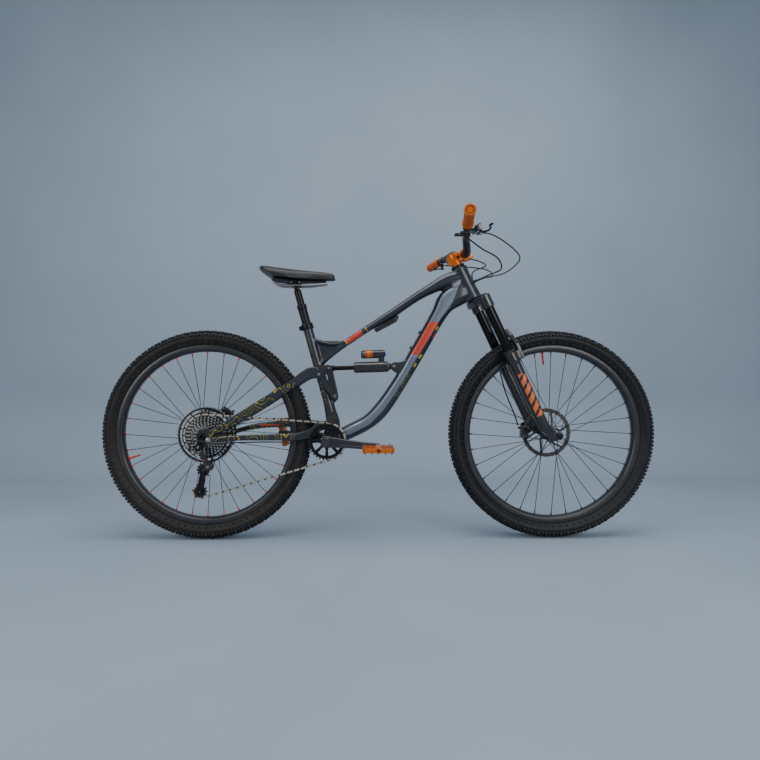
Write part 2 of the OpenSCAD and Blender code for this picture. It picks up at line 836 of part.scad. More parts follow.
module chainstay() {
    color("slategray")
        difference() {
            union() {
                loft([[-592, -88.8, 358, 9, 4.2], [-572, -88.8, 360, 9, 4.2], [-545, -85, 362, 9, 5],
                    [-510, -77, 363, 9, 6],
                    [-470, -68, 364, 10, 6.5], [-420, -59, 364, 11, 6.5], [-370, -52, 364, 12, 6],
                    [-320, -46, 364, 13, 6], [-285, -43.5, 366, 14, 6], [-250, -42, 376, 16, 6],
                    [-228, -37, 390, 15, 8], [-204, -30.5, 400, 13, 5.5]]);
                loft([[-592, 88.8, 358, 9, 4.2], [-572, 88.8, 362, 9, 4.2], [-545, 85, 370, 9, 5],
                    [-510, 77, 380, 9, 6],
                    [-470, 68, 390, 10, 6.5], [-420, 59, 398, 11, 6.5], [-370, 52, 402, 12, 6],
                    [-320, 46, 404, 13, 6], [-285, 43.5, 404, 14, 6], [-250, 42, 403, 15, 6],
                    [-228, 37, 402, 14, 8], [-204, 30.5, 402, 13, 5.5]]);
                side_plate([[-235, 388], [-235, 412], [-212, 411], [-207, 400], [-208, 388]], -40, 40);
                both_sides() {
                    link(main_pivot, [-212, 400], 15, 12, 24.4, 34);
                    pin(horst_pivot, rear_half + 10.4, rear_half + 19, 11);
                }
            }
            both_sides() {
                pin(main_pivot, 24, 35, 7.45 + run_gap);
                pin(horst_pivot, rear_half + 9, rear_half + 20, 5 + run_gap);
            }
        }
}

module seatstay() {
    color("slategray")
        difference() {
            union()
                both_sides() {
                    loft([[-222, 33.4, 588, 19, 4.6], [-242, 35, 589, 21, 5], [-266, 37.5, 579, 19, 5.5],
                        [-310, 44, 549, 16, 6.5], [-380, 51, 503, 16, 7], [-460, 61, 453, 16, 7], [-530, 71, 410, 14, 6.5],
                        [-590, 79, 376, 11, 4.6], [-614, 79.2, 366, 10, 4.6]]);
                    pin(stay_pivot, 28.8, 38, 17);
                    side_plate([[-636, 378], [-626, 392], [-592, 398], [-578, 374], [-580, 350],
                        [-598, 346], [-630, 352]], rear_half + 0.5, rear_half + 10);
                }
            pin(rear_axle_at, -90, 90, 6);
            both_sides() pin(horst_pivot, 60, 90, 5);
        }
    color("slategray")
        at_rear_caliper()
            translate([22.2, 66, 0])
                rotate([0, 90, 0])
                    cylinder(h = 16, r = 5);
    color("silver")
        both_sides() {
            pin(horst_pivot, rear_half + 1, rear_half + 19, 4.98);
            pin(horst_pivot, rear_half + 19.3, rear_half + 21.5, 8);
        }
}

module rear_axle() {
    color("dimgray")
        difference() {
            union() {
                pin(rear_axle_at, -rear_half - 18.5, rear_half + 12, 5.95);
                pin(rear_axle_at, rear_half + 10.2, rear_half + 13, 10);
            }
            pin(rear_axle_at, -100, 100, 4);
        }
}

module rear_caliper() {
    color("black")
        at_rear_caliper()
            caliper(rear_rotor_y, 13, 10);
}
// Origin on the middle of the rear caliper, with X along its length towards its boss
module at_rear_caliper() {
    translate([rear_axle_at[0] + 56, 0, rear_axle_at[1] + 73])
        rotate([0, 37.5, 0])
            children();
}

module derailleur_hanger() {
    color("dimgray")
        difference() {
            union() {
                link(rear_axle_at, knuckle_at, 11, 9, -rear_half - 16, -rear_half - 10.4);
                pin(knuckle_at, -rear_half - 28, -rear_half - 15, 13);
            }
            pin(rear_axle_at, -120, -60, 5.98);
        }
}

// The triangle of links between the frame, the seatstays and the shock
module rocker_link() {
    color([0.15, 0.15, 0.17]) {
        difference() {
            union()
                both_sides() {
                    link(rocker_pivot, stay_pivot, 12, 12, 20, 28.2);
                    link(rocker_pivot, shock_rear, 12, 11, 20, 28.2);
                    side_plate([[-234, 578], [-242, 600], [-232, 616], [-182, 616.5], [-173, 602],
                        [-206, 572]], 20, 28.2);
                }
            pin(rocker_pivot, -40, 40, 5.95 + run_gap);
        }
        both_sides() pin(shock_rear, 12.8, 28, 7);
        both_sides() pin(shock_rear, 28, 31, 8);
    }
}

// Direction from the rear eye of the shock to its front eye
shock_dir = (shock_front - shock_rear) / norm(shock_front - shock_rear);
shock_len = norm(shock_front - shock_rear);
module along_shock() {
    translate([shock_rear[0], 0, shock_rear[1]])
        rotate([0, 90 - atan2(shock_dir[1], shock_dir[0]), 0])
            children();
}
module shock_can() {
    color("black")
        along_shock()
            difference() {
                union() {
                    translate([0, 0, 92]) cylinder(h = 118, r = 20);
                    translate([0, 0, 88]) cylinder(h = 8, r = 17);
                    translate([0, 0, 206]) cylinder(h = 8, r = 16);
                    translate([-12, -12, 205]) cube([24, 24, 14]);
                    shock_reservoir();
                }
                translate([0, 0, 70]) cylinder(h = 125, r = 8 + run_gap);
                translate([0, 0, 96]) cylinder(h = 99, r = 14.5 + run_gap);
            }
    color("black")
        difference() {
            union() {
                pin(shock_front, -12.6, 12.6, 12);
                along_shock() translate([-9, -12, 210]) cube([18, 24, 14]);
            }
            pin(shock_front, -30, 30, 3.95 + run_gap);
        }
}
module shock_reservoir() {
    translate([-46, 0, 116]) cylinder(h = 84, r = 15);
    translate([-46, -9, 176]) cube([36, 18, 23]);
}
module shock_shaft() {
    color("silver") {
        difference() {
            union() {
                pin(shock_rear, -12.4, 12.4, 11.5);
                along_shock() translate([0, 0, 8]) cylinder(h = 12, r = 10);
            }
            pin(shock_rear, -30, 30, 7.5);
        }
        along_shock() {
            translate([0, 0, 18]) cylinder(h = 92, r = 8);
            translate([0, 0, 99]) cylinder(h = 14, r = 14.5);
        }
    }
}
module shock_lever() {
    color("royalblue")
        along_shock()
            translate([-46, 0, 200.3]) {
                cylinder(h = 4, r = 8);
                translate([-3, -22, 0]) cube([6, 22, 3.5]);
            }
}

// ---- Drivetrain ----

crank_dir = [cos(crank_drop), -sin(crank_drop)];
pedal_near_at = bb_at + crank_l * crank_dir;
pedal_far_at = bb_at - crank_l * crank_dir;
arm_outer = 82;
module crank_arm(end_at) {
    link(bb_at, bb_at + 0.55 * (end_at - bb_at), 21, 14, 60, 76);
    link(bb_at + 0.45 * (end_at - bb_at), end_at, 14.5, 14, 66, arm_outer);
}
module crankset() {
    color("black")
        difference() {
            union() {
                crank_arm(pedal_far_at);
                mirror([0, 1, 0]) crank_arm(pedal_near_at);
                pin(bb_at, -61, 61, 14.5);
                pin(bb_at, -80, -75, 15);
                pin(bb_at, 75, 80, 15);
            }
            pin(bb_at, -100, 100, 8);
            pin(pedal_near_at, -100, -40, 6);
            pin(pedal_far_at, 40, 100, 6);
        }
    pedal_axles();
}
module chainring() {
    r = pitch_r(ring_teeth) - tooth_cut;
    color("black")
        across(bb_at, -chainline - 1.1)
            difference() {
                union() {
                    cylinder(h = 2.2, r = r, $fn = 96);
                    translate([0, 0, -3]) cylinder(h = 10, r = 22);
                }
                translate([0, 0, -10]) cylinder(h = 30, r = 14.55);
                for (i = [0:7])
                    rotate(i * 45)
                        translate([(r + 22) / 2 + 1, 0, -2])
                            cylinder(h = 8, r = 10);
            }
}

// Platform drawn flat about its axle, inner edge at y = 0, reaching out to +Y
module pedal() {
    color("orangered") {
        difference() {
            union() {
                translate([-pedal_l / 2, 0, -8]) cube([pedal_l, 8, 16]);
                translate([-pedal_l / 2, pedal_w - 8, -8]) cube([pedal_l, 8, 16]);
                translate([-pedal_l / 2, 0, -8]) cube([9, pedal_w, 16]);
                translate([pedal_l / 2 - 9, 0, -8]) cube([9, pedal_w, 16]);
                translate([-pedal_l / 2, pedal_w / 2 - 4, -6]) cube([pedal_l, 8, 12]);
                rotate([-90, 0, 0]) cylinder(h = pedal_w, r = 11);
            }
            translate([0, -1, 0])
                rotate([-90, 0, 0])
                    cylinder(h = pedal_w + 2, r = 5.98 + run_gap);
        }
        for (x = [-1, 1])
            for (y = [4, pedal_w / 2, pedal_w - 4])
                translate([x * (pedal_l / 2 - 4.5), y, -12.5])
                    cylinder(h = 25, r = 2, $fn = 13);
    }
}
// The axle screws into the crank, so it turns with the crank
pedal_gap = 7;
module pedal_right() {
    translate([pedal_near_at[0], -arm_outer - pedal_gap, pedal_near_at[1]])
        mirror([0, 1, 0])
            pedal();
}
module pedal_left() {
    translate([pedal_far_at[0], arm_outer + pedal_gap, pedal_far_at[1]])
        rotate([0, 77, 0])
            pedal();
}
module pedal_axles() {
    color("silver") {
        pin(pedal_near_at, -arm_outer - pedal_gap - pedal_w + 6, -66, 5.98);
        pin(pedal_far_at, 66, arm_outer + pedal_gap + pedal_w - 6, 5.98);
    }
}

// The chain's line: [centre, radius] of each wheel, run through in order
function tangent_angle(a, ra, b, rb) =
    let(d = b - a) atan2(d[1], d[0]) + acos((ra - rb) / norm(d));
function turn_points(c, r, a0, a1, y, n) =
    [for (i = [0:n]) let(a = a0 + (a1 - a0) * i / n) [c[0] + r * cos(a), y, c[1] + r * sin(a)]];
cog_y = cog_gap * cog_used - cog_outer_y;
ring_pitch_r = pitch_r(ring_teeth);
cog_pitch_r = pitch_r(cog_teeth[cog_used]);
pulley_r = pitch_r(pulley_teeth);
chain_line = let(
    top = tangent_angle(rear_axle_at, cog_pitch_r, bb_at, ring_pitch_r),
    low = tangent_angle(bb_at, ring_pitch_r, tension_at, pulley_r),
    up_cage = crossing_angle(tension_at, pulley_r, guide_at, pulley_r, 1),
    on_cog = crossing_angle(guide_at, pulley_r, rear_axle_at, cog_pitch_r, -1))
    concat(
        turn_points(rear_axle_at, cog_pitch_r, on_cog + 180, top, cog_y, 14),
        turn_points(bb_at, ring_pitch_r, top, low, -chainline, 16),
        turn_points(tension_at, pulley_r, low, up_cage - 360, cog_y, 10),
        turn_points(guide_at, pulley_r, up_cage - 180, on_cog, cog_y, 10));
// Where the chain leaves one wheel to cross over to the other side of the next
function crossing_angle(a, ra, b, rb, way) =
    let(d = b - a) atan2(d[1], d[0]) + way * acos((ra + rb) / norm(d));
module chain() {
    color("goldenrod") {
        n = len(chain_line);
        rings = [for (i = [0:n - 1]) let(
            d = chain_line[(i + 1) % n] - chain_line[(i + n - 1) % n],
            t = d / norm(d),
            u = [-t[2], 0, t[0]] / norm([t[0], t[2]]),
            v = [0, 1, 0])
            [for (k = [[1, 1], [-1, 1], [-1, -1], [1, -1]])
                chain_line[i] + 3.6 * k[0] * u + 2.5 * k[1] * v]];
        polyhedron(
            points = [for (r = rings) for (p = r) p],
            faces = [for (i = [0:n - 1]) for (k = [0:3])
                [i * 4 + k, i * 4 + (k + 1) % 4, ((i + 1) % n) * 4 + (k + 1) % 4, ((i + 1) % n) * 4 + k]]);
    }
}

// Parallelogram arm of the derailleur between its two knuckles
link_top = [knuckle_at[0], -rear_half - 22, knuckle_at[1]];
link_low = [cage_pivot[0], cog_y - 25, cage_pivot[1]];
module derailleur_link() {
    color("black")
        rod(link_top + 17 * unit(link_low - link_top), link_low - 19 * unit(link_low - link_top), 8);
}
function unit(v) = v / norm(v);
module derailleur_body() {
    color("black")
        difference() {
            pin(cage_pivot, cog_y - 34, cog_y - 8.4, 16);
            pin(cage_pivot, cog_y - 30, cog_y, 6 + run_gap);
        }
}
module derailleur_cage() {
    color("black") {
        for (side = [-1, 1]) {
            y0 = cog_y + side * 5.8 - 1.2;
            difference() {
                union() {
                    link(guide_at, tension_at, 10, 10, y0, y0 + 2.4);
                    if (side < 0) link(guide_at, cage_pivot, 10, 14, y0, y0 + 2.4);
                }
                pin(guide_at, y0 - 1, y0 + 4, 3);
                pin(tension_at, y0 - 1, y0 + 4, 3);
            }
        }
        pin(guide_at, cog_y - 7.6, cog_y + 7.6, 2.98);
        pin(tension_at, cog_y - 7.6, cog_y + 7.6, 2.98);
        pin(cage_pivot, cog_y - 28, cog_y - 5.5, 6);
    }
}
module pulley(at) {
    color("dimgray")
        difference() {
            union() {
                pin(at, cog_y - 1, cog_y + 1, pulley_r - tooth_cut);
                pin(at, cog_y - 4, cog_y + 4, 7);
            }
            pin(at, cog_y - 9, cog_y + 9, 2.98 + run_gap);
        }
}
module guide_pulley() pulley(guide_at);
module tension_pulley() pulley(tension_at);

// ---- Seat ----

post_collar = 501;
head_t = post_collar + post_exposed;
module seatpost_inner() {
    color([0.12, 0.12, 0.12])
        in_seat() {
            translate([0, 0, 330]) cylinder(h = head_t - 330, r = 13);
            translate([0, 27, head_t + 4])
                rotate([90, 0, 0])
                    cylinder(h = 54, r = 9);
        }
}
saddle_at = let(p = at_seat(head_t + 17)) [p[0], p[1]];
module saddle_rails() {
    color("silver") {
        both_sides()
            hose([[saddle_at[0] - 84, 26, saddle_at[1] + 18.2], [saddle_at[0] - 64, 24, saddle_at[1] + 5],
                [saddle_at[0] - 40, 22, saddle_at[1]], [saddle_at[0] + 40, 21, saddle_at[1]],
                [saddle_at[0] + 82, 16, saddle_at[1] + 4], [saddle_at[0] + 112, 11, saddle_at[1] + 7.4]],
                3.5);
    }
    color("black") {
        translate([saddle_at[0] - 20, -27, saddle_at[1] + 3.6]) cube([40, 54, 5]);
    }
}
// Stations [along from the rear, half width, top height, edge height] of the saddle
saddle_shape = [[0, 30, 68, 58], [0.06, 60, 69, 48], [0.18, 71, 65, 31], [0.35, 66, 60, 24],
    [0.52, 42, 57, 22], [0.7, 27, 54, 22], [0.88, 22, 50, 22], [0.97, 17, 46, 22], [1, 9, 38, 24]];
function saddle_ring(s, drop, sides = 12) = [
    for (i = [0:sides - 1]) let(
        a = 360 * (i + 0.5) / sides,
        w = s[1] * saddle_w / 142,
        mid = saddle_at[1] + s[3] + 2,
        top = s[2] - s[3] - 2)
        [saddle_at[0] - 128 + s[0] * saddle_l, -w * power(sin(a), 0.8),
         mid + (cos(a) > 0 ? top * power(cos(a), 0.8) : drop * cos(a))]];
module saddle_pad() {
    color([0.1, 0.1, 0.1])
        skin([for (s = smoothed(saddle_shape, 2)) saddle_ring(s, 7)]);
}
module saddle_shell() {
    color("black") {
        loft([for (s = smoothed(saddle_shape, 2)) if (s[0] > 0.17 && s[0] < 0.95)
            [saddle_at[0] - 128 + s[0] * saddle_l, 0, saddle_at[1] + s[3] - 8.2, 3, s[1] * 0.6]]);
    }
}

// ---- Hoses, on routes held by the bike ----

front_route = [brake_clamp() + [26, -28, -7], [356, 150, 1034], [408, 110, 1000],
    steer_point(62, 86, 650), steer_point(52, 88, 570), steer_point(50, 94, 500),
    steer_point(42, 98, 420), steer_point(16, 97, 320), steer_point(-10, 90, 200),
    steer_point(-20, 72, 110), steer_point(-28, 62, 66)];
module front_hose() {
    color("black") hose(front_route, 2.5, steps = 4, level = [0.1, 1, 0.2]);
}
port_mouth = [for (y = [-port_y, port_y]) steer_point(37.6, y, port_t)];
module cockpit_hoses() {
    color("black") {
        hose([[brake_clamp()[0] + 26, 28 - brake_clamp()[1], brake_clamp()[2] - 7], [372, -140, 1046],
            [470, -60, 1014], [494, -20, 988], [450, 10, 950], port_mouth[1] + [40, 2, 18],
            port_mouth[1] + [0, 2.2, 0]], 2.3, steps = 4);
        hose([remote_clamp_near + [-6, 27.8, -22.5], [330, -146, 1000], [400, -80, 985], [424, -42, 955],
            port_mouth[0] + [40, -3, 18], port_mouth[0]], 2.5, steps = 4);
        hose([remote_clamp() + [2, -6.8, -19],
            [330, 110, 994], [396, 54, 972], [412, 26, 944], port_mouth[1] + [34, -2.6, 14],
            port_mouth[1] + [0, -2.6, 0]], 2.2, steps = 4);
    }
}
remote_clamp_near = [remote_clamp()[0], -remote_clamp()[1], remote_clamp()[2]];
module rear_hoses() {
    color("black") {
        hose([[-330, -46, 346], [-410, -58, 348], [-500, -76, 348], [-570, -95, 346], [-606, -99, 354],
            [-636, -104, 357], [-652, -102, 340], [-648, -95, 322]], 2.2, steps = 4);
        hose([[-330, 46, 419.2], [-400, 50, 423], [-460, 50, 422], [-508, 53, 415], [-541, 56, 429.2]],
            2.2, steps = 4);
    }
}

front_frame();
seat_clamp();
bearing_cups();
seatpost_outer();
chain_guide();
linkage_bolts();
frame_fittings();
fork_crown();
fork_uppers();
stem();
stem_faceplate();
headset_spacers();
handlebar();
grips();
brake_masters();
remote_clamps();
brake_lever_right();
brake_lever_left();
shifter_paddle();
dropper_paddle();
fork_lowers();
front_axle();
front_caliper();
front_hub();
front_spokes();
front_rim();
front_tyre();
front_rotor();
rear_hub();
rear_spokes();
rear_rim();
rear_tyre();
rear_rotor();
cassette();
chainstay();
chain();
seatstay();
rear_axle();
rear_caliper();
derailleur_hanger();
rocker_link();
shock_can();
shock_shaft();
shock_lever();
crankset();
chainring();
pedal_right();
pedal_left();
derailleur_link();
derailleur_body();
derailleur_cage();
guide_pulley();
tension_pulley();
seatpost_inner();
saddle_rails();
saddle_shell();
saddle_pad();
front_hose();
cockpit_hoses();
rear_hoses();
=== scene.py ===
# %% [markdown]
# # A full-suspension mountain bike
# The engineering model comes in as a fixed frame of moving bodies. Every piece made below sits in
# the same metres, and rides on one of those bodies.

# %% Load the frame
import json
import math
import bmesh
import bpy
from mathutils import Matrix, Vector
from mathutils.bvhtree import BVHTree

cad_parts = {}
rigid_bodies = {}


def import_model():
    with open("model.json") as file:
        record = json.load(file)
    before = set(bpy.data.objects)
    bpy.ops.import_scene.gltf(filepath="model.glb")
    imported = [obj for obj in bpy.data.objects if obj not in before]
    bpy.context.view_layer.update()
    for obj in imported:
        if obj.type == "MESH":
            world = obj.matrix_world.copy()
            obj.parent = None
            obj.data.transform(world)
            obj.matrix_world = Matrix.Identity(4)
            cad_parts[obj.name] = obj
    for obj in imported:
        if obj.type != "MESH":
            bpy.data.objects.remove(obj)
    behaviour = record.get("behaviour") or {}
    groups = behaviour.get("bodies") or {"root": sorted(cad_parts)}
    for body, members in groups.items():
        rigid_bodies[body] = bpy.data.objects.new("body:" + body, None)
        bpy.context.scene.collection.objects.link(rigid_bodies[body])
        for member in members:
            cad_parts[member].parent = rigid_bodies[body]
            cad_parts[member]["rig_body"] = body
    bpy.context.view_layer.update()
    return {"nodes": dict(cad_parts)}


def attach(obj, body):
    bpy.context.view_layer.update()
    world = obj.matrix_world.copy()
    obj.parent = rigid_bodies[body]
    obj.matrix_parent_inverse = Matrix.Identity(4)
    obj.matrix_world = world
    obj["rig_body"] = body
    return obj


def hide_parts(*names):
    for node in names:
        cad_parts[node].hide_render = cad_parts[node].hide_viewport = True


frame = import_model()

# %% [markdown]
# ## The camera, the floor and the light
# A bicycle is shown from its drive side, from about saddle height. The camera stands square to the
# wheels, so both stay round, and a small lens shift places the bike in the picture without tilting.
# The pale floor sweeps up into a wall in one curve, so there is no line behind the wheels. The wall is
# clear when it is looked at from its back, so the bike can be seen from every side.

# %% Camera, floor and lamps
camera_data = bpy.data.cameras.new("camera")
camera = bpy.data.objects.new("camera", camera_data)
bpy.context.scene.collection.objects.link(camera)
camera.location = (-0.102, -1.927, 0.552)
camera.rotation_euler = (math.radians(90), 0, math.radians(-0.95))
camera_data.sensor_width = 36
camera_data.lens = 25.46
camera_data.shift_x = 0.0254
camera_data.shift_y = 0.0042
bpy.context.scene.camera = camera


def new_finish(name):
    finish = bpy.data.materials.new(name)
    finish.use_nodes = True
    tree = finish.node_tree
    return finish, tree, tree.nodes["Principled BSDF"]


def node(tree, kind, **settings):
    made = tree.nodes.new(kind)
    for key, value in settings.items():
        if key in made.inputs:
            made.inputs[key].default_value = value
        else:
            setattr(made, key, value)
    return made


floor_finish, tree, shader = new_finish("floor")
shader.inputs["Roughness"].default_value = 0.75
where = node(tree, "ShaderNodeTexCoord")
mottle = node(tree, "ShaderNodeTexNoise", Scale=1.6, Detail=5.0)
tint = node(tree, "ShaderNodeMix", data_type="RGBA")
tint.inputs[6].default_value = (0.25, 0.315, 0.385, 1)
tint.inputs[7].default_value = (0.32, 0.395, 0.475, 1)
tree.links.new(where.outputs["Object"], mottle.inputs["Vector"])
tree.links.new(mottle.outputs[0], tint.inputs[0])
tree.links.new(tint.outputs[2], shader.inputs["Base Color"])

clear = node(tree, "ShaderNodeBsdfTransparent")
facing = node(tree, "ShaderNodeNewGeometry")
one_sided = node(tree, "ShaderNodeMixShader")
tree.links.new(facing.outputs["Backfacing"], one_sided.inputs[0])
tree.links.new(shader.outputs[0], one_sided.inputs[1])
tree.links.new(clear.outputs[0], one_sided.inputs[2])
tree.links.new(one_sided.outputs[0], tree.nodes["Material Output"].inputs["Surface"])

sweep = bmesh.new()
previous = None
steps = [(-6.0, 0.0), (1.1, 0.0)]
steps += [(1.1 + 0.5 * math.sin(math.radians(a)), 0.5 - 0.5 * math.cos(math.radians(a))) for a in range(9, 91, 9)]
steps += [(1.6, 6.0)]
for y, z in steps:
    pair = [sweep.verts.new((x, y, z)) for x in (-7, 7)]
    if previous:
        sweep.faces.new((previous[0], previous[1], pair[1], pair[0])).smooth = True
    previous = pair
floor_mesh = bpy.data.meshes.new("floor")
sweep.to_mesh(floor_mesh)
floor = bpy.data.objects.new("floor", floor_mesh)
floor_mesh.materials.append(floor_finish)
bpy.context.scene.collection.objects.link(floor)

world = bpy.data.worlds.new("studio")
world.use_nodes = True
world.node_tree.nodes["Background"].inputs[0].default_value = (0.62, 0.68, 0.74, 1)
world.node_tree.nodes["Background"].inputs[1].default_value = 0.55
bpy.context.scene.world = world


def lamp(name, place, aim, size, watts):
    data = bpy.data.lights.new(name, "AREA")
    data.shape = "RECTANGLE"
    data.size, data.size_y = size
    data.energy = watts
    made = bpy.data.objects.new(name, data)
    made.location = place
    made.rotation_euler = (Vector(aim) - Vector(place)).to_track_quat("-Z", "Y").to_euler()
    bpy.context.scene.collection.objects.link(made)


lamp("top_lamp", (0.1, -0.5, 3.0), (0, 0, 0.4), (3.2, 1.8), 62)
lamp("front_lamp", (1.7, -2.6, 1.6), (0.2, 0, 0.5), (1.6, 1.6), 34)
lamp("side_lamp", (-2.4, -2.0, 1.4), (-0.2, 0, 0.5), (1.4, 1.8), 26)
print("studio ready")

# %% [markdown]
# ## Finishes
# A bicycle mixes painted carbon, anodised and cast metal, bare steel, moulded nylon and rubber.
# Each finish is one principled shader. Fine noise moves its roughness, a finer one lifts its surface,
# and a broad one varies its colour, which is what keeps a large plain surface from looking flat.

# %% A maker of finishes
def make_finish(name, colour, rough, metal=0.0, coat=0.0, grain=400.0, vary=0.12, lift=0.00005, dust=0.0,
                stretch=(1, 1, 1), sheen=0.0):
    finish, tree, shader = new_finish(name)
    link = tree.links.new
    shader.inputs["Metallic"].default_value = metal
    shader.inputs["Coat Weight"].default_value = coat
    shader.inputs["Coat Roughness"].default_value = 0.08
    if not coat and not metal:
        shader.inputs["Specular IOR Level"].default_value = 0.32
    if sheen:
        shader.inputs["Sheen Weight"].default_value = sheen
    where = node(tree, "ShaderNodeTexCoord")
    mapping = node(tree, "ShaderNodeMapping")
    mapping.inputs["Scale"].default_value = stretch
    link(where.outputs["Object"], mapping.inputs["Vector"])
    broad = node(tree, "ShaderNodeTexNoise", Scale=14.0, Detail=4.0)
    fine = node(tree, "ShaderNodeTexNoise", Scale=grain, Detail=3.0)
    link(mapping.outputs[0], broad.inputs["Vector"])
    link(mapping.outputs[0], fine.inputs["Vector"])
    both = node(tree, "ShaderNodeMath", operation="ADD")
    link(broad.outputs[0], both.inputs[0])
    link(fine.outputs[0], both.inputs[1])
    spread = node(tree, "ShaderNodeMapRange")
    spread.inputs["From Min"].default_value = 0.7
    spread.inputs["From Max"].default_value = 1.3
    link(both.outputs[0], spread.inputs["Value"])
    mix = node(tree, "ShaderNodeMix", data_type="RGBA")
    mix.inputs[6].default_value = (*[c * (1 - vary) for c in colour], 1)
    mix.inputs[7].default_value = (*[min(1, c * (1 + vary)) for c in colour], 1)
    link(spread.outputs[0], mix.inputs[0])
    last = mix.outputs[2]
    if dust:
        patch = node(tree, "ShaderNodeTexNoise", Scale=30.0, Detail=8.0, Roughness=0.7)
        link(where.outputs["Object"], patch.inputs["Vector"])
        amount = node(tree, "ShaderNodeMapRange")
        amount.inputs["From Min"].default_value = 0.48
        amount.inputs["From Max"].default_value = 0.75
        amount.inputs["To Max"].default_value = dust
        link(patch.outputs[0], amount.inputs["Value"])
        dusty = node(tree, "ShaderNodeMix", data_type="RGBA")
        dusty.inputs[7].default_value = (0.16, 0.14, 0.12, 1)
        link(amount.outputs[0], dusty.inputs[0])
        link(last, dusty.inputs[6])
        last = dusty.outputs[2]
    link(last, shader.inputs["Base Color"])
    gloss = node(tree, "ShaderNodeMapRange")
    gloss.inputs["To Min"].default_value = max(0.03, rough - 0.08)
    gloss.inputs["To Max"].default_value = min(1.0, rough + 0.08)
    link(spread.outputs[0], gloss.inputs["Value"])
    link(gloss.outputs[0], shader.inputs["Roughness"])
    bump = node(tree, "ShaderNodeBump", Strength=0.5, Distance=lift)
    link(fine.outputs[0], bump.inputs["Height"])
    link(bump.outputs[0], shader.inputs["Normal"])
    return finish


black_anodised = make_finish("black_anodised", (0.012, 0.012, 0.014), 0.32, metal=0.6, grain=900)
satin_black = make_finish("satin_black", (0.016, 0.016, 0.018), 0.42, coat=0.15, grain=600)
gloss_black = make_finish("gloss_black", (0.012, 0.012, 0.014), 0.22, coat=0.7, grain=300)
carbon_black = make_finish("carbon_black", (0.014, 0.014, 0.016), 0.4, coat=0.25, grain=250, vary=0.3)
nylon_black = make_finish("nylon_black", (0.022, 0.022, 0.024), 0.6, grain=1500, lift=0.00012)
stanchion_black = make_finish("stanchion_black", (0.02, 0.019, 0.018), 0.16, metal=0.85, grain=700)
orange_anodised = make_finish("orange_anodised", (0.72, 0.15, 0.008), 0.3, metal=0.55, grain=900, vary=0.08)
orange_rubber = make_finish("orange_rubber", (0.62, 0.12, 0.012), 0.6, grain=900, lift=0.00015, dust=0.1)
red_anodised = make_finish("red_anodised", (0.62, 0.02, 0.015), 0.28, metal=0.6, grain=900)
blue_anodised = make_finish("blue_anodised", (0.02, 0.10, 0.45), 0.3, metal=0.6, grain=900)
bare_steel = make_finish("bare_steel", (0.42, 0.41, 0.39), 0.3, metal=1.0, grain=700)
dark_steel = make_finish("dark_steel", (0.10, 0.095, 0.09), 0.34, metal=1.0, grain=700, vary=0.25)
chain_steel = make_finish("chain_steel", (0.68, 0.6, 0.46), 0.3, metal=1.0, grain=900, vary=0.2)
cast_grey = make_finish("cast_grey", (0.12, 0.125, 0.13), 0.45, metal=0.6, grain=500)
rim_finish = make_finish("rim_finish", (0.016, 0.016, 0.018), 0.36, coat=0.2, grain=350, dust=0.12)
hose_black = make_finish("hose_black", (0.02, 0.02, 0.022), 0.45, grain=1200)
saddle_skin = make_finish("saddle_skin", (0.004, 0.004, 0.005), 0.5, coat=0.12, grain=1600, lift=0.00012)
print("finishes", len(bpy.data.materials))

# %% [markdown]
# ## A blank to build on
# A lathe, a saw and a mould make most of a bicycle, so the same few tools make it here: turn a
# profile round an axle, cut a plate from an outline, sweep a tube along a path, or skin a row of
# rings. A blank gathers such shapes, and a final pass points its faces outwards and rounds its edges.

# %% The workbench
MM = 0.001


def curve_through(points, steps):
    """Smooth points through the given ones; each point may carry extra numbers."""
    smooth = []
    last = len(points) - 1
    for i in range(last):
        a, b, c, d = points[max(i - 1, 0)], points[i], points[i + 1], points[min(i + 2, last)]
        for k in range(steps):
            t = k / steps
            smooth.append([0.5 * (2 * q + (r - p) * t + (2 * p - 5 * q + 4 * r - s) * t * t
                                  + (3 * q - p - 3 * r + s) * t ** 3) for p, q, r, s in zip(a, b, c, d)])
    return smooth + [list(points[-1])]


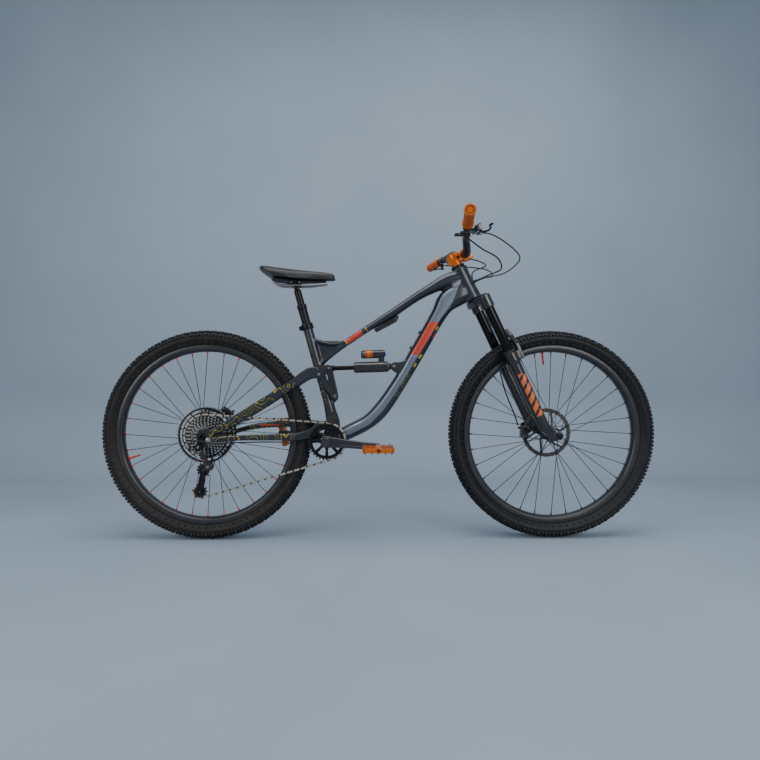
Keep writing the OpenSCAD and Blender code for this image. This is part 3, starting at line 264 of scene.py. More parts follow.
class Blank:
    """Stock that shapes are added to, in millimetres, before it becomes a piece."""

    def __init__(self):
        self.points, self.faces = [], []

    def skin(self, rings, loop=False, caps=True):
        start, size = len(self.points), len(rings[0])
        for ring in rings:
            self.points += [Vector(p) for p in ring]
        for k in range(len(rings) - (0 if loop else 1)):
            a, b = start + k * size, start + (k + 1) % len(rings) * size
            for i in range(size):
                j = (i + 1) % size
                self.faces.append((a + i, b + i, b + j, a + j))
        if caps and not loop:
            self.faces.append(tuple(range(start, start + size)))
            end = start + (len(rings) - 1) * size
            self.faces.append(tuple(range(end + size - 1, end - 1, -1)))
        return self

    def turn(self, profile, centre, axis=(0, 1, 0), sides=48, loop=False):
        """Turn [along, radius] pairs round an axis through centre, like a lathe."""
        axis = Vector(axis).normalized()
        side = axis.orthogonal().normalized()
        up = axis.cross(side)
        centre = Vector(centre)
        rings = []
        for along, radius in profile:
            radius = max(radius, 0.001)
            rings.append([centre + axis * along + radius * (side * math.cos(math.tau * i / sides)
                                                            + up * math.sin(math.tau * i / sides))
                          for i in range(sides)])
        return self.skin(rings, loop=loop)

    def tube(self, path, radius, sides=12, level=(0.1, 1, 0.2), loop=False):
        """Sweep a round section; radius may be a list, one for each point."""
        path = [Vector(p[:3]) for p in path]
        rings = []
        for i, p in enumerate(path):
            r = radius[i] if isinstance(radius, list) else radius
            ahead = path[(i + 1) % len(path)] if loop else path[min(i + 1, len(path) - 1)]
            behind = path[i - 1] if loop or i else path[0]
            t = (ahead - behind).normalized()
            u = t.cross(Vector(level)).normalized()
            v = t.cross(u)
            rings.append([p + r * (u * math.cos(math.tau * k / sides) + v * math.sin(math.tau * k / sides))
                          for k in range(sides)])
        return self.skin(rings, loop=loop)

    def plate(self, outline, y0, y1):
        """A plate cut from an outline of [x, z] points, from y0 to y1."""
        return self.skin([[(x, y0, z) for x, z in outline], [(x, y1, z) for x, z in outline]])

    def box(self, low, high):
        (x0, y0, z0), (x1, y1, z1) = low, high
        return self.skin([[(x0, y0, z), (x1, y0, z), (x1, y1, z), (x0, y1, z)] for z in (z0, z1)])

    def loft(self, stations, section, steps=4):
        """Skin a section along [x, y, z, half height, half width] stations in the bike's side plane."""
        path = curve_through(stations, steps)
        rings = []
        for i, (x, y, z, high, wide) in enumerate(path):
            a, b = path[max(i - 1, 0)], path[min(i + 1, len(path) - 1)]
            along = Vector((b[0] - a[0], 0, b[2] - a[2])).normalized()
            up = Vector((-along.z, 0, along.x))
            rings.append([Vector((x, y + w * wide, z)) + up * h * high for w, h in section])
        return self.skin(rings)

    def moved(self, matrix):
        self.points = [matrix @ p for p in self.points]
        return self

    def add(self, other):
        start = len(self.points)
        self.points += [Vector(p) for p in other.points]
        self.faces += [tuple(start + i for i in face) for face in other.faces]
        return self

    def mesh(self, name, bevel=0.0, segments=2, sharp=35):
        made = bpy.data.meshes.new(name)
        made.from_pydata([tuple(p * MM) for p in self.points], [], self.faces)
        work = bmesh.new()
        work.from_mesh(made)
        bmesh.ops.remove_doubles(work, verts=work.verts, dist=1e-6)
        bmesh.ops.recalc_face_normals(work, faces=work.faces)
        if bevel:
            edges = [e for e in work.edges if len(e.link_faces) == 2
                     and e.calc_face_angle(0) > math.radians(sharp) and e.calc_length() > bevel * MM * 0.8]
            bmesh.ops.bevel(work, geom=edges, offset=bevel * MM, segments=segments, profile=0.6,
                            affect="EDGES", clamp_overlap=True)
        for face in work.faces:
            face.smooth = True
        work.to_mesh(made)
        work.free()
        made.set_sharp_from_angle(angle=math.radians(sharp))
        return made


pieces_made = {}


def place(name, mesh, finish, body, *stands_for, slot=None):
    """Turn a mesh into a piece: its finish, the body it rides on and the CAD nodes it stands for."""
    piece = bpy.data.objects.new(name, mesh)
    bpy.context.scene.collection.objects.link(piece)
    if finish:
        mesh.materials.clear()
        for one in finish if isinstance(finish, (list, tuple)) else [finish]:
            mesh.materials.append(one)
    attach(piece, body)
    if stands_for:
        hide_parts(*stands_for)
    pieces_made[name] = len(mesh.polygons)
    return piece


def plain_mesh(ob):
    """The evaluated object as a plain mesh, with the object itself removed."""
    made = bpy.data.meshes.new_from_object(ob.evaluated_get(bpy.context.evaluated_depsgraph_get()))
    bpy.data.objects.remove(ob)
    return made


def moulded(mesh, voxel, rounds, bores=None):
    """Melt overlapping shells into one skin, as a mould does, then cut the bores."""
    ob = bpy.data.objects.new("mould", mesh)
    bpy.context.scene.collection.objects.link(ob)
    melt = ob.modifiers.new("melt", "REMESH")
    melt.mode, melt.voxel_size, melt.use_smooth_shade = "VOXEL", voxel * MM, True
    relax = ob.modifiers.new("relax", "SMOOTH")
    relax.factor, relax.iterations = 0.5, rounds
    cutter = None
    if bores:
        cutter = bpy.data.objects.new("bores", bores.mesh("bores"))
        bpy.context.scene.collection.objects.link(cutter)
        bore = ob.modifiers.new("bore", "BOOLEAN")
        bore.operation, bore.solver, bore.object = "DIFFERENCE", "EXACT", cutter
    made = plain_mesh(ob)
    if cutter:
        bpy.data.objects.remove(cutter)
    made.polygons.foreach_set("use_smooth", [True] * len(made.polygons))
    made.set_sharp_from_angle(angle=math.radians(50))
    return made


def eased(name, finish, width=0.6, sharp=30, suffix="eased", body=None, slot=None):
    """A copy of a CAD node with its edges eased, as a machined or cast part has."""
    source = frame["nodes"][name]
    made = source.data.copy()
    work = bmesh.new()
    work.from_mesh(made)
    bmesh.ops.remove_doubles(work, verts=work.verts, dist=2e-6)
    bmesh.ops.dissolve_limit(work, angle_limit=math.radians(0.6), verts=work.verts, edges=work.edges)
    edges = [e for e in work.edges if len(e.link_faces) == 2
             and e.calc_face_angle(0) > math.radians(sharp) and e.calc_length() > width * MM * 0.5]
    bmesh.ops.bevel(work, geom=edges, offset=width * MM, segments=2, profile=0.6, affect="EDGES",
                    clamp_overlap=True)
    for face in work.faces:
        face.smooth = True
    work.to_mesh(made)
    work.free()
    made.set_sharp_from_angle(angle=math.radians(sharp))
    return place(f"{name}_{suffix}", made, finish, body or source["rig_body"], name, slot=slot)


# %% [markdown]
# ## Repeating a piece
# A wheel is one small job done thirty-two times. A Geometry Nodes tree repeats a piece
# round an axle, along a path, or at marked points, so the piece itself is made only once.

# %% The repeating trees
def new_tree(name, sockets):
    tree = bpy.data.node_groups.new(name, "GeometryNodeTree")
    tree.interface.new_socket("Geometry", in_out="INPUT", socket_type="NodeSocketGeometry")
    for label, kind in sockets:
        tree.interface.new_socket(label, in_out="INPUT", socket_type="NodeSocket" + kind)
    tree.interface.new_socket("Geometry", in_out="OUTPUT", socket_type="NodeSocketGeometry")
    return tree, tree.nodes.new("NodeGroupInput"), tree.nodes.new("NodeGroupOutput")


def end_tree(tree, geometry, given, out):
    real = tree.nodes.new("GeometryNodeRealizeInstances")
    coat = tree.nodes.new("GeometryNodeSetMaterial")
    tree.links.new(geometry, real.inputs[0])
    tree.links.new(real.outputs[0], coat.inputs["Geometry"])
    tree.links.new(given.outputs["Finish"], coat.inputs["Material"])
    tree.links.new(coat.outputs[0], out.inputs[0])


round_tree, given, out = new_tree("round_an_axle", [
    ("Count", "Int"), ("Piece", "Object"), ("Centre", "Vector"), ("Finish", "Material")])
link = round_tree.links.new
row = node(round_tree, "GeometryNodeMeshLine")
row.inputs["Offset"].default_value = (0, 0, 0)
link(given.outputs["Count"], row.inputs["Count"])
index = node(round_tree, "GeometryNodeInputIndex")
share = node(round_tree, "ShaderNodeMath", operation="DIVIDE")
link(index.outputs[0], share.inputs[0])
link(given.outputs["Count"], share.inputs[1])
angle = node(round_tree, "ShaderNodeMath", operation="MULTIPLY")
angle.inputs[1].default_value = math.tau
link(share.outputs[0], angle.inputs[0])
turn = node(round_tree, "ShaderNodeCombineXYZ")
link(angle.outputs[0], turn.inputs["Y"])
as_turn = node(round_tree, "FunctionNodeEulerToRotation")
link(turn.outputs[0], as_turn.inputs[0])
info = node(round_tree, "GeometryNodeObjectInfo")
link(given.outputs["Piece"], info.inputs["Object"])
copies = node(round_tree, "GeometryNodeInstanceOnPoints")
link(row.outputs[0], copies.inputs["Points"])
link(info.outputs["Geometry"], copies.inputs["Instance"])
link(as_turn.outputs[0], copies.inputs["Rotation"])
shift = node(round_tree, "GeometryNodeTransform")
link(copies.outputs[0], shift.inputs["Geometry"])
link(given.outputs["Centre"], shift.inputs["Translation"])
end_tree(round_tree, shift.outputs[0], given, out)

marks_tree, given, out = new_tree("at_marks", [("Piece", "Object"), ("Size", "Float"),
                                               ("Finish", "Material")])
link = marks_tree.links.new
facing = node(marks_tree, "GeometryNodeInputNamedAttribute", data_type="FLOAT_VECTOR")
facing.inputs["Name"].default_value = "facing"
align = node(marks_tree, "FunctionNodeAlignRotationToVector", axis="Z")
link(facing.outputs[0], align.inputs["Vector"])
info = node(marks_tree, "GeometryNodeObjectInfo")
link(given.outputs["Piece"], info.inputs["Object"])
copies = node(marks_tree, "GeometryNodeInstanceOnPoints")
link(given.outputs["Geometry"], copies.inputs["Points"])
link(info.outputs["Geometry"], copies.inputs["Instance"])
link(align.outputs[0], copies.inputs["Rotation"])
link(given.outputs["Size"], copies.inputs["Scale"])
end_tree(marks_tree, copies.outputs[0], given, out)


def run_tree(tree, base_mesh, **values):
    """Run a tree on a base mesh and keep the result as a plain mesh."""
    ob = bpy.data.objects.new("base", base_mesh)
    bpy.context.scene.collection.objects.link(ob)
    step = ob.modifiers.new("nodes", "NODES")
    step.node_group = tree
    for item in tree.interface.items_tree:
        if item.in_out == "INPUT" and item.name in values:
            step[item.identifier] = values[item.name]
    made = plain_mesh(ob)
    made.set_sharp_from_angle(angle=math.radians(35))
    return made


def hidden(name, mesh):
    ob = bpy.data.objects.new(name, mesh)
    bpy.context.scene.collection.objects.link(ob)
    return ob


def round_axle(name, mesh, count, centre, finish):
    """Repeat a mesh made about the Y axis at the origin, round an axle at centre."""
    piece = hidden(name, mesh)
    made = run_tree(round_tree, bpy.data.meshes.new("empty"), Count=count, Piece=piece,
                    Centre=tuple(Vector(centre) * MM), Finish=finish)
    bpy.data.objects.remove(piece)
    return made


def at_marks(name, mesh, marks, finish, size=1.0):
    """Repeat a mesh at marks of (place, facing), its Z axis turned to face that way."""
    base = bpy.data.meshes.new("marks")
    base.from_pydata([tuple(Vector(p) * MM) for p, _ in marks], [], [])
    facing = base.attributes.new("facing", "FLOAT_VECTOR", "POINT")
    facing.data.foreach_set("vector", [c for _, f in marks for c in Vector(f).normalized()])
    piece = hidden(name, mesh)
    made = run_tree(marks_tree, base, Piece=piece, Size=size, Finish=finish)
    bpy.data.objects.remove(piece)
    return made


def joined(name, meshes):
    """Several meshes in one, each keeping its finish."""
    work = bmesh.new()
    finishes = []
    for one in meshes:
        start = len(work.faces)
        work.from_mesh(one)
        work.faces.ensure_lookup_table()
        offset = len(finishes)
        finishes += list(one.materials) or [None]
        for face in work.faces[start:]:
            face.material_index += offset
    made = bpy.data.meshes.new(name)
    work.to_mesh(made)
    work.free()
    for finish in finishes:
        made.materials.append(finish)
    made.set_sharp_from_angle(angle=math.radians(35))
    return made


def with_finish(mesh, finish):
    mesh.materials.clear()
    mesh.materials.append(finish)
    return mesh


# A socket-head screw, its head above the face it stands on, 5 mm across at size 1
def screw_head(radius=2.5, height=2.4, socket=1.25):
    b = Blank()
    rings = []
    for along, r, hexagon in [(0, radius, 0), (height * 0.8, radius, 0), (height, radius * 0.86, 0),
                              (height, socket, 1), (height * 0.35, socket, 1), (height * 0.35, 0.01, 1)]:
        rings.append([Vector((r * math.cos(math.tau * i / 18), r * math.sin(math.tau * i / 18), along))
                      if not hexagon else
                      Vector((math.cos(math.tau * i / 18), math.sin(math.tau * i / 18), 0)) * r
                      / math.cos((i % 3 - 1) * math.tau / 18) * 0.97 + Vector((0, 0, along))
                      for i in range(18)])
    return b.skin(rings).mesh("screw_head", sharp=40)


screw = screw_head()
print("workbench ready")

# %% [markdown]
# ## The front frame
# The real frame is carbon laid in a mould: flat faces with soft corners that flow into each other
# with no welds. Rings with flattened sides are skinned along each tube, then all the tubes are
# melted into one skin and relaxed a little, which leaves the facets and rounds the places where
# tubes meet. The bores are cut last, so they stay true.

# %% Tubes of the front frame
wheelbase, axle_high, head_lean_deg, fork_offset = 1230, 370, 25, 51
front_x = wheelbase // 2
rear_axle, front_axle = (-front_x, 0, axle_high), (front_x, 0, axle_high)
lean = math.radians(head_lean_deg)
steer_foot = (front_x - fork_offset * math.cos(lean), axle_high - fork_offset * math.sin(lean))
steer_axis = Vector((-math.sin(lean), 0, math.cos(lean)))
steer_ahead = Vector((math.cos(lean), 0, math.sin(lean)))
seat_foot, seat_lean = (-149, 349), math.radians(15.45)
seat_axis = Vector((-math.sin(seat_lean), 0, math.cos(seat_lean)))
bb, main_pivot, stay_pivot = (-189, 0, 349), (-182, 0, 404), (-218, 0, 583)
rocker_pivot, shock_rear, shock_front = (-162, 0, 506), (-183, 0, 605), (47, 0, 612)
horst = (-590, 0, 358)


def steering(ahead, y, t):
    return Vector((steer_foot[0], y, steer_foot[1])) + steer_ahead * ahead + steer_axis * t


def on_seat(t, ahead=0, y=0):
    return Vector((seat_foot[0], y, seat_foot[1])) + seat_axis * t \
        + Vector((math.cos(seat_lean), 0, math.sin(seat_lean))) * ahead


def both(half):
    """A whole section from its right half, listed from the top down as [out, up]."""
    return half + [(-w, h) for w, h in reversed(half) if w > 0.001]


down_section = both([(0.0, 1.0), (0.42, 0.97), (0.72, 0.8), (0.92, 0.56), (1.0, 0.34), (1.0, -0.1),
                     (0.97, -0.42), (0.78, -0.74), (0.45, -0.95), (0.0, -1.0)])
top_section = both([(0.0, 1.0), (0.5, 0.86), (0.9, 0.42), (1.0, 0.1), (0.93, -0.4), (0.6, -0.86),
                    (0.0, -1.0)])
stay_section = both([(0.0, 1.0), (0.6, 0.92), (0.95, 0.62), (1.0, 0.1), (1.0, -0.4), (0.8, -0.85),
                     (0.0, -1.0)])

tubes = Blank()
tubes.loft([[326, 0, 884, 26, 28], [284, 0, 872, 40, 30], [240, 0, 845, 38, 29], [213, 0, 803, 29, 28],
            [174, 0, 735, 27, 27], [127, 0, 653, 27, 27], [85, 0, 580, 26, 27], [36, 0, 503, 27, 28],
            [-2, 0, 452, 28, 30], [-45, 0, 413, 26, 32], [-100, 0, 384, 26, 33], [-146, 0, 362, 24, 33],
            [-178, 0, 352, 18, 33]], down_section)
tubes.loft([[296, 0, 936, 24, 27], [240, 0, 919, 27, 27], [186, 0, 893, 20, 25], [124, 0, 857, 16, 23],
            [42, 0, 801, 16, 21], [-41, 0, 750, 12.5, 19], [-108, 0, 706, 12.5, 17]], top_section)
tubes.loft([[-92, 0, 715, 10, 16], [-140, 0, 694, 8, 14], [-190, 0, 693, 8, 14], [-247, 0, 709, 9, 15]],
           top_section)
tubes.loft([[-92, 0, 712, 9, 16], [-142, 0, 678, 8.5, 14], [-190, 0, 640, 8.5, 14], [-227, 0, 607, 9, 14]],
           top_section)
tubes.plate([(-112, 702), (-242, 704), (-226, 610)], -4.5, 4.5)
head_tube = [(556, 33), (562, 33.2), (575, 32), (618, 29), (655, 28.5), (672, 29.6), (680, 29.5)]
tubes.turn([(t, r) for t, r in head_tube], (steer_foot[0], 0, steer_foot[1]), steer_axis, 40)
tubes.turn([(100, 17.6), (428, 17.6)], (seat_foot[0], 0, seat_foot[1]), seat_axis, 32)
tubes.loft([[-190, 0, 500, 17.5, 17.5], [-178, 0, 452, 21, 20], [-169, 0, 405, 26, 23],
            [-178, 0, 368, 27, 23], [-186, 0, 345, 22, 23]], top_section)
tubes.turn([(-36.5, 25), (36.5, 25)], bb, sides=40)
tubes.turn([(-24, 16.5), (24, 16.5)], main_pivot, sides=32)
tubes.turn([(-16, 13), (16, 13)], rocker_pivot, sides=32)
tubes.plate([(-203, 530), (-172, 528), (-150, 512), (-150, 496), (-176, 470), (-190, 470)], -11, 11)
shock_tab = [(38, 603), (36, 620), (46, 627), (72, 628), (106, 640), (80, 580), (56, 590)]
tubes.plate([(238, 922), (290, 944), (326, 880), (290, 868), (262, 884)], -25, 25)
tubes.plate(shock_tab, 13, 22)
tubes.plate(shock_tab, -22, -13)

bores = Blank()
head = (steer_foot[0], 0, steer_foot[1])
bores.turn([(554, 26.1), (572, 26.1), (572, 21.5), (668, 21.5), (668, 22.6), (682, 22.6)], head,
           steer_axis, 40)
bores.turn([(160, 15.9), (470, 15.9)], (seat_foot[0], 0, seat_foot[1]), seat_axis, 32)
bores.turn([(-38, 20.5), (38, 20.5)], bb, sides=40)
bores.turn([(-26, 7.6), (26, 7.6)], main_pivot, sides=24)
bores.turn([(-20, 6.1), (20, 6.1)], rocker_pivot, sides=24)
bores.turn([(-30, 4.1), (30, 4.1)], shock_front, sides=24)

shells = tubes.mesh("front_frame_shells")
front_frame = moulded(shells, 2.6, 5, bores)
print("front frame faces", len(front_frame.polygons))

# %% [markdown]
# ## Frame paint
# The paint is a cool slate with a pale metallic flank on the down tube. The flank follows the tube's
# flat side, so it is marked on the mesh: each point finds the facet it came from. The warm panels
# and the thin contour lines are straight masking-tape work, so they are cut by planes in the shader.

# %% Mark the pale flanks
def mark_flank(mesh, shell, is_pale):
    tree = BVHTree.FromPolygons([v.co for v in shell.vertices], [tuple(p.vertices) for p in shell.polygons])
    marks = mesh.attributes.new("flank", "FLOAT", "POINT")
    values = []
    for v in mesh.vertices:
        _, _, face, _ = tree.find_nearest(v.co)
        values.append(1.0 if is_pale(v.co, shell.polygons[face]) else 0.0)
    marks.data.foreach_set("value", values)


down_line = [(246, 819), (213, 782), (174, 717), (127, 640), (88, 574), (40, 499), (1, 446), (-42, 405),
             (-97, 376),
             (-146, 355)]
pale_band = [(288, 921)] + down_line + [(-150, 400), (-60, 452), (0, 520), (60, 640), (120, 750),
                                        (170, 850), (193, 872)]


def pale_down_tube(point, facet):
    """On a flat flank, inside the band that starts as a wedge under the head."""
    x, z = point.x / MM, point.z / MM
    inside = False
    for (x0, z0), (x1, z1) in zip(pale_band, pale_band[1:] + pale_band[:1]):
        if (z0 > z) != (z1 > z) and x < x0 + (z - z0) / (z1 - z0) * (x1 - x0):
            inside = not inside
    return inside and abs(facet.normal.y) > 0.7 and abs(point.y) > 0.0232


mark_flank(front_frame, shells, pale_down_tube)


def frame_paint(name, panels, lines=()):
    """Slate paint with pale flanks, warm panels and thin contour lines.
    A panel is [colour, corner, along, across, length, width] in the side plane."""
    finish, tree, shader = new_finish(name)
    link = tree.links.new
    shader.inputs["Metallic"].default_value = 0.55
    shader.inputs["Coat Weight"].default_value = 0.55
    shader.inputs["Coat Roughness"].default_value = 0.07
    where = node(tree, "ShaderNodeTexCoord")
    flank = node(tree, "ShaderNodeAttribute", attribute_name="flank")
    soft = node(tree, "ShaderNodeMapRange", interpolation_type="SMOOTHSTEP")
    soft.inputs["From Min"].default_value = 0.25
    soft.inputs["From Max"].default_value = 0.75
    link(flank.outputs["Fac"], soft.inputs["Value"])
    flake = node(tree, "ShaderNodeTexNoise", Scale=2600.0, Detail=2.0)
    cloud = node(tree, "ShaderNodeTexNoise", Scale=5.0, Detail=3.0)
    link(where.outputs["Object"], flake.inputs["Vector"])
    link(where.outputs["Object"], cloud.inputs["Vector"])
    slate = node(tree, "ShaderNodeMix", data_type="RGBA")
    slate.inputs[6].default_value = (0.017, 0.021, 0.028, 1)
    slate.inputs[7].default_value = (0.032, 0.039, 0.05, 1)
    link(cloud.outputs[0], slate.inputs[0])
    pale = node(tree, "ShaderNodeMix", data_type="RGBA")
    pale.inputs[6].default_value = (0.11, 0.135, 0.175, 1)
    pale.inputs[7].default_value = (0.19, 0.225, 0.28, 1)
    link(cloud.outputs[0], pale.inputs[0])
    base = node(tree, "ShaderNodeMix", data_type="RGBA")
    link(soft.outputs[0], base.inputs[0])
    link(slate.outputs[2], base.inputs[6])
    link(pale.outputs[2], base.inputs[7])
    last = base.outputs[2]
    apart = node(tree, "ShaderNodeSeparateXYZ")
    link(where.outputs["Object"], apart.inputs[0])

    def within(direction, low, high):
        """1 where a point lies between two parallel planes of the side view."""
        dot = node(tree, "ShaderNodeVectorMath", operation="DOT_PRODUCT")
        dot.inputs[1].default_value = (direction[0], 0, direction[1])
        link(where.outputs["Object"], dot.inputs[0])
        over = node(tree, "ShaderNodeMath", operation="GREATER_THAN")
        over.inputs[1].default_value = low
        under = node(tree, "ShaderNodeMath", operation="LESS_THAN")
        under.inputs[1].default_value = high
        link(dot.outputs["Value"], over.inputs[0])
        link(dot.outputs["Value"], under.inputs[0])
        return times(over.outputs[0], under.outputs[0])

    def times(a, b):
        made = node(tree, "ShaderNodeMath", operation="MULTIPLY")
        link(a, made.inputs[0])
        link(b, made.inputs[1])
        return made.outputs[0]

    for colour, (x, z), along, across, length, width, side in panels:
        a = Vector(along).normalized()
        b = Vector(across).normalized()
        start = (a.x * x + a.y * z) * MM
        level = (b.x * x + b.y * z) * MM
        mask = times(within(a, start, start + length * MM), within(b, level, level + width * MM))
        if side < 0:
            mask = times(mask, soft.outputs[0])
        if side > 0:
            flat = node(tree, "ShaderNodeMath", operation="GREATER_THAN")
            flat.inputs[1].default_value = side * MM
            wide = node(tree, "ShaderNodeMath", operation="ABSOLUTE")
            link(apart.outputs["Y"], wide.inputs[0])
            link(wide.outputs[0], flat.inputs[0])
            mask = times(mask, flat.outputs[0])
        mix = node(tree, "ShaderNodeMix", data_type="RGBA")
        mix.inputs[7].default_value = (*colour, 1)
        link(mask, mix.inputs[0])
        link(last, mix.inputs[6])
        last = mix.outputs[2]
    for colour, scale, shift, mask_panel in lines:
        wave = node(tree, "ShaderNodeTexNoise", Scale=scale, Detail=1.0)
        mapping = node(tree, "ShaderNodeMapping")
        mapping.inputs["Location"].default_value = (shift, 0, shift)
        mapping.inputs["Scale"].default_value = (1, 0, 1)
        link(where.outputs["Object"], mapping.inputs["Vector"])
        link(mapping.outputs[0], wave.inputs["Vector"])
        rings = node(tree, "ShaderNodeMath", operation="MULTIPLY")
        rings.inputs[1].default_value = 14.0
        link(wave.outputs[0], rings.inputs[0])
        part = node(tree, "ShaderNodeMath", operation="FRACT")
        link(rings.outputs[0], part.inputs[0])
        thin = node(tree, "ShaderNodeMath", operation="LESS_THAN")
        thin.inputs[1].default_value = 0.11
        link(part.outputs[0], thin.inputs[0])
        mask = thin.outputs[0]
        for direction, low, high in mask_panel:
            mask = times(mask, within(direction, low * MM, high * MM))
        mix = node(tree, "ShaderNodeMix", data_type="RGBA")
        mix.inputs[7].default_value = (*colour, 1)
        link(mask, mix.inputs[0])
        link(last, mix.inputs[6])
        last = mix.outputs[2]
    link(last, shader.inputs["Base Color"])
    gloss = node(tree, "ShaderNodeMapRange")
    gloss.inputs["To Min"].default_value = 0.26
    gloss.inputs["To Max"].default_value = 0.4
    link(flake.outputs[0], gloss.inputs["Value"])
    link(gloss.outputs[0], shader.inputs["Roughness"])
    bump = node(tree, "ShaderNodeBump", Strength=0.25, Distance=0.00003)
    link(flake.outputs[0], bump.inputs["Height"])
    link(bump.outputs[0], shader.inputs["Normal"])
    return finish


coral, amber, lilac = (0.6, 0.06, 0.035), (0.62, 0.42, 0.02), (0.16, 0.2, 0.4)
yellow = (0.42, 0.31, 0.02)
seat_up, seat_across = (-0.2664, 0.9639), (0.9639, 0.2664)
down_dir, top_dir = (0.497, 0.868), (0.855, 0.519)
down_out, top_up = (0.868, -0.497), (-0.519, 0.855)
main_paint = frame_paint("frame_paint", [
    (coral, (0, 652), (0, 1), (1, 0), 117, 260, -1),
    (lilac, (0, 644), (0, 1), (1, 0), 7, 260, -1),
    (coral, (-118, 690), top_dir, top_up, 68, 60, 9),
    (amber, (-120, 690), top_dir, top_up, 4, 60, 9),
    (amber, (-44, 730), top_dir, top_up, 3, 60, 9),
    (amber, (193, 742), down_dir, down_out, 16, 9, 8),
    (coral, (184, 716), down_dir, down_out, 20, 9, 8),
    (amber, (133, 642), down_dir, down_out, 16, 9, 8),
    (amber, (116, 612), down_dir, down_out, 14, 7, 8),
], lines=[(yellow, 18.0, 0.3, [(down_dir, 465, 560), (down_out, -212, -176)]),
          (yellow, 22.0, 0.8, [(seat_up, 515, 775), (seat_across, -70, -55)])])
place("front_frame_shell", front_frame, main_paint, "frame", "front_frame", slot=None)

# %% [markdown]
# ## The swingarm and the seatstays
# Each stay is the same sort of moulded tube, much thinner. The chainstays start at the main pivot,
# pass outside the tyre, and end outside the axle at a small pivot. The seatstays carry the axle and
# turn on that pivot, which is what makes this a four-bar suspension.

# %% Stays
swingarm = Blank()
swingarm.loft([[-592, -88.8, 358, 9, 4.2], [-572, -88.8, 360, 9, 4.2], [-545, -85, 362, 9, 5],
               [-510, -77, 363, 9, 6],
               [-470, -68, 364, 10, 6.5], [-420, -59, 364, 11, 6.5], [-370, -52, 364, 12, 6],
               [-320, -46, 364, 13, 6],
               [-285, -43.5, 366, 14, 6], [-250, -42, 376, 16, 6], [-228, -37, 390, 15, 8],
               [-204, -30.5, 400, 13, 5.5]], stay_section)
swingarm.loft([[-592, 88.8, 358, 9, 4.2], [-572, 88.8, 362, 9, 4.2], [-545, 85, 370, 9, 5],
               [-510, 77, 380, 9, 6],
               [-470, 68, 390, 10, 6.5], [-420, 59, 398, 11, 6.5], [-370, 52, 402, 12, 6],
               [-320, 46, 404, 13, 6],
               [-285, 43.5, 404, 14, 6], [-250, 42, 403, 15, 6], [-228, 37, 402, 14, 8],
               [-204, 30.5, 402, 13, 5.5]], stay_section)
swingarm.plate([(-235, 388), (-235, 412), (-212, 411), (-207, 400), (-208, 388)], -40, 40)
for side in (-1, 1):
    low, high = sorted((side * 24.4, side * 34))
    swingarm.turn([(low, 15), (high, 15)], main_pivot, sides=32)
    swingarm.plate([(-184, 418), (-214, 412), (-210, 388), (-180, 389)], low, high)
    low, high = sorted((side * 84.4, side * 93))
    swingarm.turn([(low, 11), (high, 11)], horst, sides=32)
stay_bores = Blank()
stay_bores.turn([(-36, 7.6), (36, 7.6)], main_pivot, sides=24)
for side in (-1, 1):
    low, high = sorted((side * 83, side * 94))
    stay_bores.turn([(low, 5.1), (high, 5.1)], horst, sides=24)
stay_paint = frame_paint("stay_paint", [
    (yellow, (-500, 352), (1, 0), (0, 1), 60, 3, 60), (coral, (-440, 396), (1, 0), (0, 1), 70, 6, 0),
], lines=[(yellow, 13.0, 0.1, [((1, 0), -590, -300)])])
place("swingarm", moulded(swingarm.mesh("swingarm_shells"), 1.9, 4, stay_bores), stay_paint,
      "chainstays", "chainstay")

seatstays = Blank()
for side in (-1, 1):
    seatstays.loft([[x, side * y, z, h, w] for x, y, z, h, w in [
        [-222, 33.4, 588, 19, 4.6], [-242, 35, 589, 21, 5], [-266, 37.5, 579, 19, 5.5],
        [-310, 44, 549, 16, 6.5],
        [-380, 51, 503, 16, 7],
        [-460, 61, 453, 16, 7], [-530, 71, 410, 14, 6.5], [-590, 79, 376, 11, 4.6],
        [-614, 79.2, 366, 10, 4.6]]],
        stay_section)
    low, high = sorted((side * 28.8, side * 38))
    seatstays.turn([(low, 17), (high, 17)], stay_pivot, sides=32)
    low, high = sorted((side * 74.5, side * 84))
    seatstays.plate([(-636, 378), (-626, 392), (-592, 398), (-578, 374), (-580, 350), (-598, 346),
                     (-630, 352)],
                    low, high)
caliper_turn = Matrix.Translation((-559, 0, 443)) @ Matrix.Rotation(math.radians(37.5), 4, "Y")
boss = Blank().turn([(22.2, 5), (38.2, 5)], (0, 66, 0), (1, 0, 0), 24).moved(caliper_turn)
seatstays.add(boss)
dropout_bores = Blank().turn([(-90, 6.1), (90, 6.1)], rear_axle, sides=24)
for side in (-1, 1):
    low, high = sorted((side * 60, side * 90))
    dropout_bores.turn([(low, 5.02), (high, 5.02)], horst, sides=24)
seatstay_mesh = moulded(seatstays.mesh("seatstay_shells"), 1.9, 4, dropout_bores)
pins = Blank()
for side in (-1, 1):
    low, high = sorted((side * 75, side * 93))
    pins.turn([(low, 4.98), (high, 4.98)], horst, sides=24)
    profile = [(93.3, 7.2), (93.9, 8), (95, 8), (95.5, 7.2), (95.5, 3.2), (94.2, 3.0), (94.2, 0)]
    pins.turn([(side * t, r) for t, r in profile], horst, sides=32)
place("seatstays", joined("seatstays", [with_finish(seatstay_mesh, stay_paint),
                                        with_finish(pins.mesh("horst_pins"), bare_steel)]),
      None, "seatstays", "seatstay")
print("swingarm and seatstays made")
